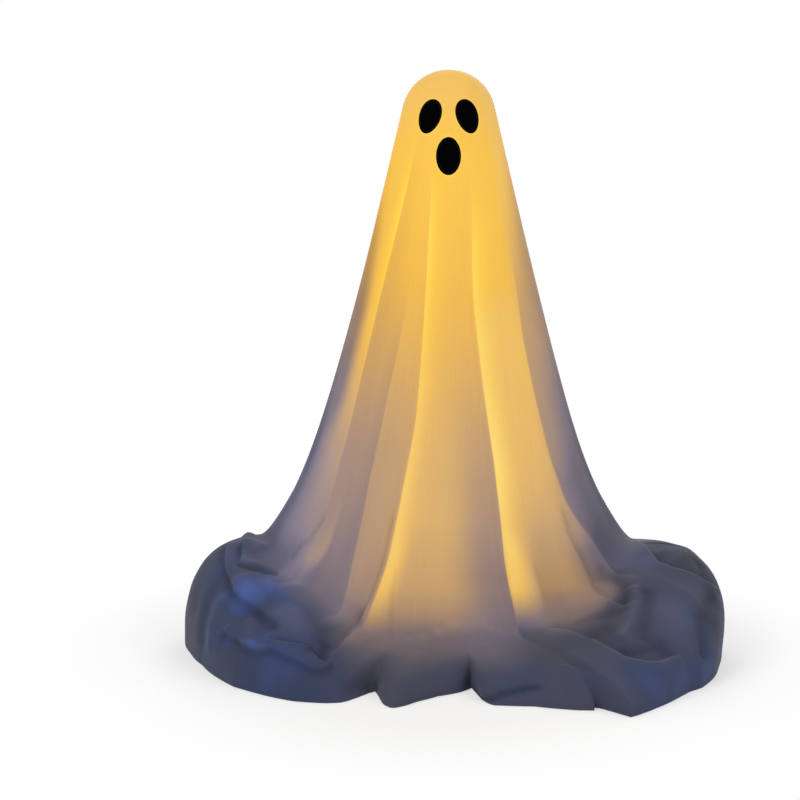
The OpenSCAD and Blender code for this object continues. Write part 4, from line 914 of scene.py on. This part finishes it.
def follow_folds(columns, z, folds, middle):
    """Turns the columns so that the same ones stay on each fold all the way down."""
    knots = sorted((wrap(along(fold.line, FOLD_LEVEL) - middle), fold.line)
                   for fold in folds if fold.start > SHORT_FOLD)
    at_rest = np.array([-90] + [knot for knot, _ in knots] + [90])
    turned = columns.copy()
    picks = np.arange(columns.shape[1])
    for row, row_z in enumerate(z):
        shift = np.zeros((len(at_rest), len(picks)))
        for index, (knot, line) in enumerate(knots):
            shift[index + 1] = wrap(along(line, row_z) - middle) - knot
        low = np.clip(np.searchsorted(at_rest, columns[row]) - 1, 0, len(at_rest) - 2)
        share = (columns[row] - at_rest[low]) / (at_rest[low + 1] - at_rest[low])
        turned[row] += mix(shift[low, picks], shift[low + 1, picks], share)
    return turned


def round_foot(points, rows):
    """Rounds the bend where the skirt meets the pile."""
    bend = np.flatnonzero((rows > BEND_ROWS[0]) & (rows < BEND_ROWS[1]))
    for _ in range(BEND_PASSES):
        points[bend] = 0.5 * points[bend] + 0.25 * (points[bend - 1] + points[bend + 1])
    return points


def to_plain_mesh(piece, level):
    """Applies the piece's modifiers and keeps it above a level."""
    graph = bpy.context.evaluated_depsgraph_get()
    mesh = bpy.data.meshes.new_from_object(piece.evaluated_get(graph))
    piece.modifiers.clear()
    piece.data = mesh
    for vertex in mesh.vertices:
        vertex.co.z = max(vertex.co.z, level)


def lay_panel(folds, middle, count):
    """Points of a panel in rows from the head to the hem, with their angles, v and painted shade."""
    rows = np.concatenate([np.linspace(0, 1, HEAD_ROWS + 1)[1:],
                           2 - np.linspace(1, 0, SKIRT_ROWS + 1)[1:] ** ROW_CROWDING,
                           np.linspace(2, 3, PILE_ROWS + 1)[1:]])
    v, column = np.meshgrid(rows, panel_columns(folds, middle, count), indexing="ij")
    angle = column + middle
    for _ in range(FOLLOW_PASSES):
        z = drape_point(angle, np.minimum(v, 2))[..., 2]
        angle = follow_folds(column, z, folds, middle) + middle
    points, dark = lay_pile(round_foot(drape_point(angle, v), rows), v)
    points = soften(points, angle, v)
    points[:, [0, -1]] -= SEAM_DEPTH * cloth_normals(points)[:, [0, -1]]
    points[..., 2] = np.maximum(points[..., 2], CLOTH_LIFT)
    return points, angle, v, dark


def sew_panel(name, folds, middle, count):
    """A panel's cloth, with its painted light and shade as attributes and its weave's map, and its outer
    points.
    """
    points, angle, v, dark = lay_panel(folds, middle, count)
    z = points[..., 2]
    faces = [(0, 1 + j, 2 + j) for j in range(count - 1)]
    for start in range(1, (len(points) - 1) * count, count):
        faces += [(k, k + count, k + count + 1, k + 1) for k in range(start, start + count - 1)]
    mesh = mesh_of(name, [(0, 0, HEIGHT)] + points.reshape(-1, 3).tolist(), faces)
    lilac = patches_of(points, LILAC_PATCHES)
    layers = (("glow", np.maximum(glow_of(angle, z, v), LILAC_GLOW * lilac), CROWN_GLOW), ("dark", dark, 0),
              ("blue", patches_of(points, BLUE_PATCHES, LEAST_BLUE), 0),
              ("amber", amber_of(angle, z) - LILAC_COOLS * lilac, CROWN_AMBER))
    for key, values, at_crown in layers:
        layer = mesh.attributes.new(key, "FLOAT", "POINT")
        layer.data.foreach_set("value", np.concatenate([[at_crown], values.reshape(-1)]))
    length = np.cumsum(np.linalg.norm(np.diff(points, axis=0, prepend=points[:1]), axis=2), axis=0)
    flat = np.stack([np.radians(angle) * WEAVE_RADIUS, length], -1).reshape(-1, 2)
    flat = np.concatenate([[[math.radians(middle) * WEAVE_RADIUS, 0]], flat])
    corners = np.zeros(len(mesh.loops), int)
    mesh.loops.foreach_get("vertex_index", corners)
    mesh.uv_layers.new(name="cloth").data.foreach_set("uv", flat[corners].reshape(-1))

    panel = put_in_scene(name, mesh)
    thick = panel.modifiers.new("cloth", "SOLIDIFY")
    thick.thickness = CLOTH_THICKNESS
    thick.offset = -1
    to_plain_mesh(panel, CLOTH_LIFT - CLOTH_THICKNESS)
    return panel, points


front_panel, front_points = sew_panel("drape_front_panel", FRONT_FOLDS, 0, FRONT_COLUMNS)
back_panel, back_points = sew_panel("drape_back_panel", BACK_FOLDS, 180, BACK_COLUMNS)

# Weave: fine crossed threads, with thicker ones here and there that run down the cloth
THREADS_PER_METRE, SLUB, SLUB_STRETCH = 420, 0.10, (160, 5, 1)
THREAD_BUMP, THREAD_RELIEF = 0.2, 0.0006


def ramp_of(tree, value, stops):
    """Colour by value; a stop is a place from 0 to 1 and a screen's colour."""
    node = tree.nodes.new("ShaderNodeValToRGB")
    tree.links.new(value, node.inputs["Fac"])
    elements = node.color_ramp.elements
    elements.remove(elements[1])
    elements[0].position = stops[0][0]
    for index, (place, tint) in enumerate(stops):
        element = elements.new(place) if index else elements[0]
        element.color = colour(*tint)
    return node.outputs["Color"]


def around_middle(tree, value, strength):
    """A noise's value set around 0, times a strength."""
    return times(tree, math_of(tree, "SUBTRACT", value, 0.5), strength)


weave_group, given, result = new_group("woven_threads", ("Vector",), ("Threads per metre", "Slub"),
                                       ("Height", "Slub"))
turn_rate = times(weave_group, given["Threads per metre"], math.pi)
flat = xyz_of(weave_group, scaled(weave_group, given["Vector"], turn_rate))
warp, weft = (math_of(weave_group, "ABSOLUTE", math_of(weave_group, "SINE", flat[axis])) for axis in "XY")
weave_group.links.new(times(weave_group, warp, weft), result.inputs["Height"])
drawn_out = vector_of(weave_group, "MULTIPLY", given["Vector"], SLUB_STRETCH)[0]
slub = noise_of(weave_group, drawn_out, scale=1.0, detail=3.0)
weave_group.links.new(around_middle(weave_group, slub, given["Slub"]), result.inputs["Slub"])

# Halo: painted glow, the cloth a little lighter close around each patch of the face, whose places these are
EYE_WIDTH, EYE_HEIGHT, EYE_TILT, EYE_X, EYE_Z = 0.073, 0.117, 17.5, 0.062, HEIGHT - 0.167
MOUTH_WIDTH, MOUTH_HEIGHT, MOUTH_Z = 0.083, 0.126, HEIGHT - 0.299
PATCHES = (("eye_left", -EYE_X, EYE_Z, EYE_WIDTH, EYE_HEIGHT, -EYE_TILT),
           ("eye_right", EYE_X, EYE_Z, EYE_WIDTH, EYE_HEIGHT, EYE_TILT),
           ("mouth", 0.0, MOUTH_Z, MOUTH_WIDTH, MOUTH_HEIGHT, 0.0))
HALO_REACH, HALO_GLOW = 1.2, 0.07
halo_group, given, result = new_group("patch_halo", ("Vector", "Centre", "Tilt", "Half size"), (), ("Mask",))
own_frame = {"Vector": given["Vector"], "Location": given["Centre"], "Rotation": given["Tilt"],
             "Scale": given["Half size"]}
own_place = add_node(halo_group, "ShaderNodeMapping", own_frame, vector_type="TEXTURE")[0]
reach = vector_of(halo_group, "LENGTH", vector_of(halo_group, "MULTIPLY", own_place, (1, 0, 1))[0])["Value"]
in_front = math_of(halo_group, "LESS_THAN", xyz_of(halo_group, given["Vector"])["Y"], 0.0)
lighter = range_of(halo_group, reach, HALO_REACH, 1.0)
halo_group.links.new(times(halo_group, lighter, in_front), result.inputs["Mask"])

# Painted light on the cloth: its colours by glow, cooler low down and warmer on the upper body, and the
# pile's painted dusk light by its blue
LIT_CLOTH = ((0.0, (76, 77, 94)), (0.13, (98, 94, 108)), (0.28, (136, 120, 124)), (0.42, (172, 142, 120)),
             (0.6, (206, 166, 113)), (0.76, (231, 184, 106)), (0.88, (244, 200, 108)), (1.0, (253, 218, 118)))
AMBER_LIT_CLOTH = ((0.0, (76, 75, 86)), (0.13, (100, 92, 94)), (0.28, (138, 113, 97)), (0.42, (176, 137, 90)),
               (0.6, (208, 160, 87)), (0.76, (238, 184, 80)), (0.88, (250, 199, 76)), (1.0, (255, 219, 90)))
PILE_DUSK_LIGHT = ((0.0, (69, 68, 79)), (0.5, (55, 64, 94)), (1.0, (64, 84, 142)))
MOTTLE_SCALE, MOTTLE_GLOW, MOTTLE_BLUE = 6.0, 0.05, 0.5
UNLIT, LIT, DEEPEST_PAINTED_SHADE = 0.03, 0.20, 0.7
SHINE_FROM, MOST_SHINE = 0.08, 0.82

cloth_material, tree = new_material("drape_cloth")
place = add_node(tree, "ShaderNodeTexCoord")
glow, dark, blue, amber = (add_node(tree, "ShaderNodeAttribute", attribute_name=key)["Fac"]
                           for key in ("glow", "dark", "blue", "amber"))
weave = group_of(tree, weave_group,
                 {"Vector": place["UV"], "Threads per metre": THREADS_PER_METRE, "Slub": SLUB})
for _, x, z, width, height, tilt in PATCHES:
    halo_inputs = {"Vector": place["Object"], "Centre": (x, 0, z), "Tilt": (0, -math.radians(tilt), 0),
                   "Half size": (width / 2, 1, height / 2)}
    halo = group_of(tree, halo_group, halo_inputs)["Mask"]
    glow = math_of(tree, "ADD", glow, times(tree, halo, HALO_GLOW))
mottle = noise_of(tree, place["Object"], scale=MOTTLE_SCALE, detail=4.0)
glow = math_of(tree, "ADD", glow, around_middle(tree, mottle, MOTTLE_GLOW))
# Painted dusk shade of the pile, bluer where the blue patches are, and the painted lamp light above it by
# glow
painted_pile_light = ramp_of(tree, math_of(tree, "ADD", blue, around_middle(tree, mottle, MOTTLE_BLUE)), PILE_DUSK_LIGHT)
lit_colour = blend_of(tree, amber, ramp_of(tree, glow, LIT_CLOTH), ramp_of(tree, glow, AMBER_LIT_CLOTH),
                      clamp_factor=False)
cloth = blend_of(tree, range_of(tree, glow, UNLIT, LIT), painted_pile_light, lit_colour)
# Slub of the weave, and the painted shade of the pile's gaps and hollows, which lightens as a painted
# highlight below 0
shade = math_of(tree, "ADD", 1.0, weave["Slub"])
shade = math_of(tree, "SUBTRACT", shade, math_of(tree, "MINIMUM", dark, DEEPEST_PAINTED_SHADE))
cloth = scaled(tree, cloth, shade)
# The brighter the painted glow, the more of the colour goes to emission instead of the base, so that the
# cloth shines like a lamp
shine = add_node(tree, "ShaderNodeMapRange", {"Value": glow, 1: SHINE_FROM, 2: 1.0, 3: 0.0, 4: MOST_SHINE})[0]
shade_with(tree, Base_Color=scaled(tree, cloth, math_of(tree, "SUBTRACT", 1.0, shine)), Roughness=0.85,
           Sheen_Weight=0.08, Specular_IOR_Level=0.15, Emission_Color=scaled(tree, cloth, shine),
           Emission_Strength=1.0, Normal=bump_of(tree, weave["Height"], THREAD_BUMP, THREAD_RELIEF))

# Stitches: a row on both sides of each seam and one along the hem, in thread that matches the cloth, with the
# cloth's painted light: dusk blue low down and amber glow high up
THREAD_WIDTH, STITCH_SUNK = 0.0014, 0.3
SEAM_INSET, HEM_INSET, FLOOR_GAP = 0.009, 0.014, 0.0003
SEAM_THREAD_PAINTED_LIGHT = ((0.12, (62, 66, 88)), (0.4, (104, 96, 104)), (0.95, (206, 164, 92)))
PLY, PLY_BUMP = (0.3, 0.7), 0.5
stitch_tree = bpy.data.node_groups.new("running_stitch", "GeometryNodeTree")
for key, kind in (("Line", "Geometry"), ("Spacing", "Float"), ("Length", "Float"), ("Width", "Float"),
                  ("Thread", "Material")):
    stitch_tree.interface.new_socket(key, in_out="INPUT", socket_type="NodeSocket" + kind)
stitch_tree.interface.new_socket("Stitches", in_out="OUTPUT", socket_type="NodeSocketGeometry")
given = stitch_tree.nodes.new("NodeGroupInput").outputs
line = add_node(stitch_tree, "GeometryNodeMeshToCurve", {0: given["Line"]})[0]
spaced = add_node(stitch_tree, "GeometryNodeResampleCurve", {"Curve": line, "Length": given["Spacing"]},
                  mode="LENGTH")[0]
bead = add_node(stitch_tree, "GeometryNodeMeshUVSphere", {"Segments": 6, "Rings": 4, "Radius": 0.5})[0]
bead = add_node(stitch_tree, "GeometryNodeSetShadeSmooth", {"Geometry": bead, "Shade Smooth": True})[0]
tangent = add_node(stitch_tree, "GeometryNodeInputTangent")[0]
turned = add_node(stitch_tree, "FunctionNodeAlignRotationToVector", {"Vector": tangent}, axis="X")[0]
size = add_node(stitch_tree, "ShaderNodeCombineXYZ",
                {"X": given["Length"], "Y": given["Width"], "Z": given["Width"]})[0]
placed = add_node(stitch_tree, "GeometryNodeInstanceOnPoints",
                  {"Points": spaced, "Instance": bead, "Rotation": turned, "Scale": size})[0]
realized = add_node(stitch_tree, "GeometryNodeRealizeInstances", {0: placed})[0]
threaded = add_node(stitch_tree, "GeometryNodeSetMaterial",
                    {"Geometry": realized, "Material": given["Thread"]})[0]
stitch_tree.links.new(threaded, stitch_tree.nodes.new("NodeGroupOutput").inputs[0])


def sew_stitches(name, lines, **sizes):
    """Stitches along lines, with the sizes and the thread that the tree's inputs ask for."""
    corners, edges = [], []
    for line in lines:
        edges += [(len(corners) + k, len(corners) + k + 1) for k in range(len(line) - 1)]
        corners += [tuple(point) for point in line]
    stitches = put_in_scene(name, mesh_of(name, corners, [], edges))
    modifier = stitches.modifiers.new("stitches", "NODES")
    modifier.node_group = stitch_tree
    for socket in stitch_tree.interface.items_tree:
        if socket.name in sizes:
            modifier[socket.identifier] = sizes[socket.name]
    to_plain_mesh(stitches, FLOOR_GAP)
    return stitches


def set_back(runs, inset):
    """A line that keeps the same distance along the cloth from the edge where all the runs start."""
    line = []
    for run in runs:
        length = np.concatenate([[0], np.cumsum(np.linalg.norm(np.diff(run, axis=0), axis=1))])
        line.append([np.interp(inset, length, run[:, axis]) for axis in range(3)])
    return line


def twist_thread(tree, tint, ply, rough, relief):
    roughness = range_of(tree, ply, *PLY, *rough)
    shade_with(tree, Base_Color=tint, Roughness=roughness, Normal=bump_of(tree, ply, PLY_BUMP, relief))


thread_material, tree = new_material("seam_thread")
place = object_place(tree)
ply = noise_of(tree, place, scale=1400.0, detail=2.0)
# Painted light on the thread by height, like that on the cloth
tint = ramp_of(tree, math_of(tree, "DIVIDE", xyz_of(tree, place)["Z"], HEIGHT), SEAM_THREAD_PAINTED_LIGHT)
tint = scaled(tree, tint, range_of(tree, ply, *PLY, start=0.75, end=1.1))
twist_thread(tree, tint, ply, rough=(0.6, 0.85), relief=0.0003)

for panel, points, node in ((front_panel, front_points, "drape_front"),
                            (back_panel, back_points, "drape_back")):
    panel.data.materials.clear()
    panel.data.materials.append(cloth_material)
    raised = points + STITCH_SUNK * THREAD_WIDTH * cloth_normals(points)
    lines = [set_back(raised[1:], SEAM_INSET), set_back(raised[1:, ::-1], SEAM_INSET),
             set_back(raised.transpose(1, 0, 2)[:, ::-1], HEM_INSET)]
    stitches = sew_stitches(panel.name + "_stitches", lines, Spacing=0.0105, Length=0.0072,
                            Width=THREAD_WIDTH, Thread=thread_material)
    for piece in (panel, stitches):
        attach(piece, "stand")
    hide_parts(node)


# Face: three ovals of black felt, 2.5 mm thick with soft edges, sewn flat on the cloth of the
# head with a running stitch 5 to 8 mm inside their edges.
# Section of a patch from its middle over the edge and back below: share of its size, and height in mm
FELT_SECTION = ((0.0, 2.6), (0.25, 2.6), (0.5, 2.6), (0.7, 2.5), (0.84, 2.2), (0.92, 1.9), (0.97, 1.5),
                (1.0, 0.8), (1.0, 0.1), (0.8, 0.1), (0.5, 0.1), (0.0, 0.1))
FELT_STEPS = 72
EGG_SHAPE = 0.09
NORMAL_STEP = 0.0005
FELT_BLACK = ((0.1, (2, 2, 2)), (0.5, (7, 6, 6)))
BLACK_THREAD = ((0.3, (9, 9, 10)), (0.7, (20, 19, 20)))
STITCH_SHARE, STITCH_LIFT = 0.87, 0.0021


def face_point(x, z, lift):
    def surface(x, z):
        depth = float(profile(z, *FRONT_SKIRT)) * math.sqrt(1 - (x / float(profile(z, *SIDE_SKIRT))) ** 2)
        return Vector((x, -depth, z))
    h = NORMAL_STEP
    normal = (surface(x + h, z) - surface(x - h, z)).cross(surface(x, z + h) - surface(x, z - h)).normalized()
    return surface(x, z) + lift * normal


def patch_ring(patch, share, lift, count):
    """Points round a patch, at a share of its size and a height over the cloth."""
    _, x, z, width, height, tilt = patch
    egg = EGG_SHAPE if tilt else 0.0
    tilt = math.radians(tilt)
    ring = []
    for k in range(count):
        turn = 2 * math.pi * k / FELT_STEPS
        up = share * height / 2 * math.sin(turn)
        across = share * width / 2 * math.cos(turn) * (1 + egg * math.sin(turn))
        ring.append(face_point(x + across * math.cos(tilt) - up * math.sin(tilt),
                               z + across * math.sin(tilt) + up * math.cos(tilt), lift))
    return ring


felt_material, tree = new_material("face_felt")
place = object_place(tree)
fibres = noise_of(tree, place, scale=900.0, detail=5.0, roughness=0.7)
tufts = noise_of(tree, place, scale=130.0, detail=3.0)
shade_with(tree, Base_Color=ramp_of(tree, times(tree, fibres, tufts), FELT_BLACK), Roughness=0.95,
           Specular_IOR_Level=0.0, Normal=bump_of(tree, fibres, strength=0.5, distance=0.0008))

for patch in PATCHES:
    rings = [patch_ring(patch, share, lift / 1000, FELT_STEPS if share else 1)
             for share, lift in FELT_SECTION]
    starts = np.cumsum([0] + [len(ring) for ring in rings])
    faces = []
    for index in range(len(rings) - 1):
        a, b = starts[index], starts[index + 1]
        for k in range(FELT_STEPS):
            n = (k + 1) % FELT_STEPS
            if len(rings[index]) == 1:
                faces.append((a, b + k, b + n))
            elif len(rings[index + 1]) == 1:
                faces.append((a + k, b, a + n))
            else:
                faces.append((a + k, b + k, b + n, a + n))
    mesh = mesh_of(patch[0] + "_felt", [point for ring in rings for point in ring], faces)
    mesh.materials.append(felt_material)
    felt = put_in_scene(patch[0] + "_felt", mesh)
    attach(felt, "stand")
    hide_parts(patch[0])

black_thread, tree = new_material("black_thread")
ply = noise_of(tree, object_place(tree), scale=1800.0, detail=2.0)
twist_thread(tree, ramp_of(tree, ply, BLACK_THREAD), ply, rough=(0.45, 0.7), relief=0.0002)
lines = [patch_ring(patch, STITCH_SHARE, STITCH_LIFT, FELT_STEPS + 1) for patch in PATCHES]
face_stitches = sew_stitches("face_stitches", lines, Spacing=0.0075, Length=0.0048, Width=0.0009,
                             Thread=black_thread)
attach(face_stitches, "stand")
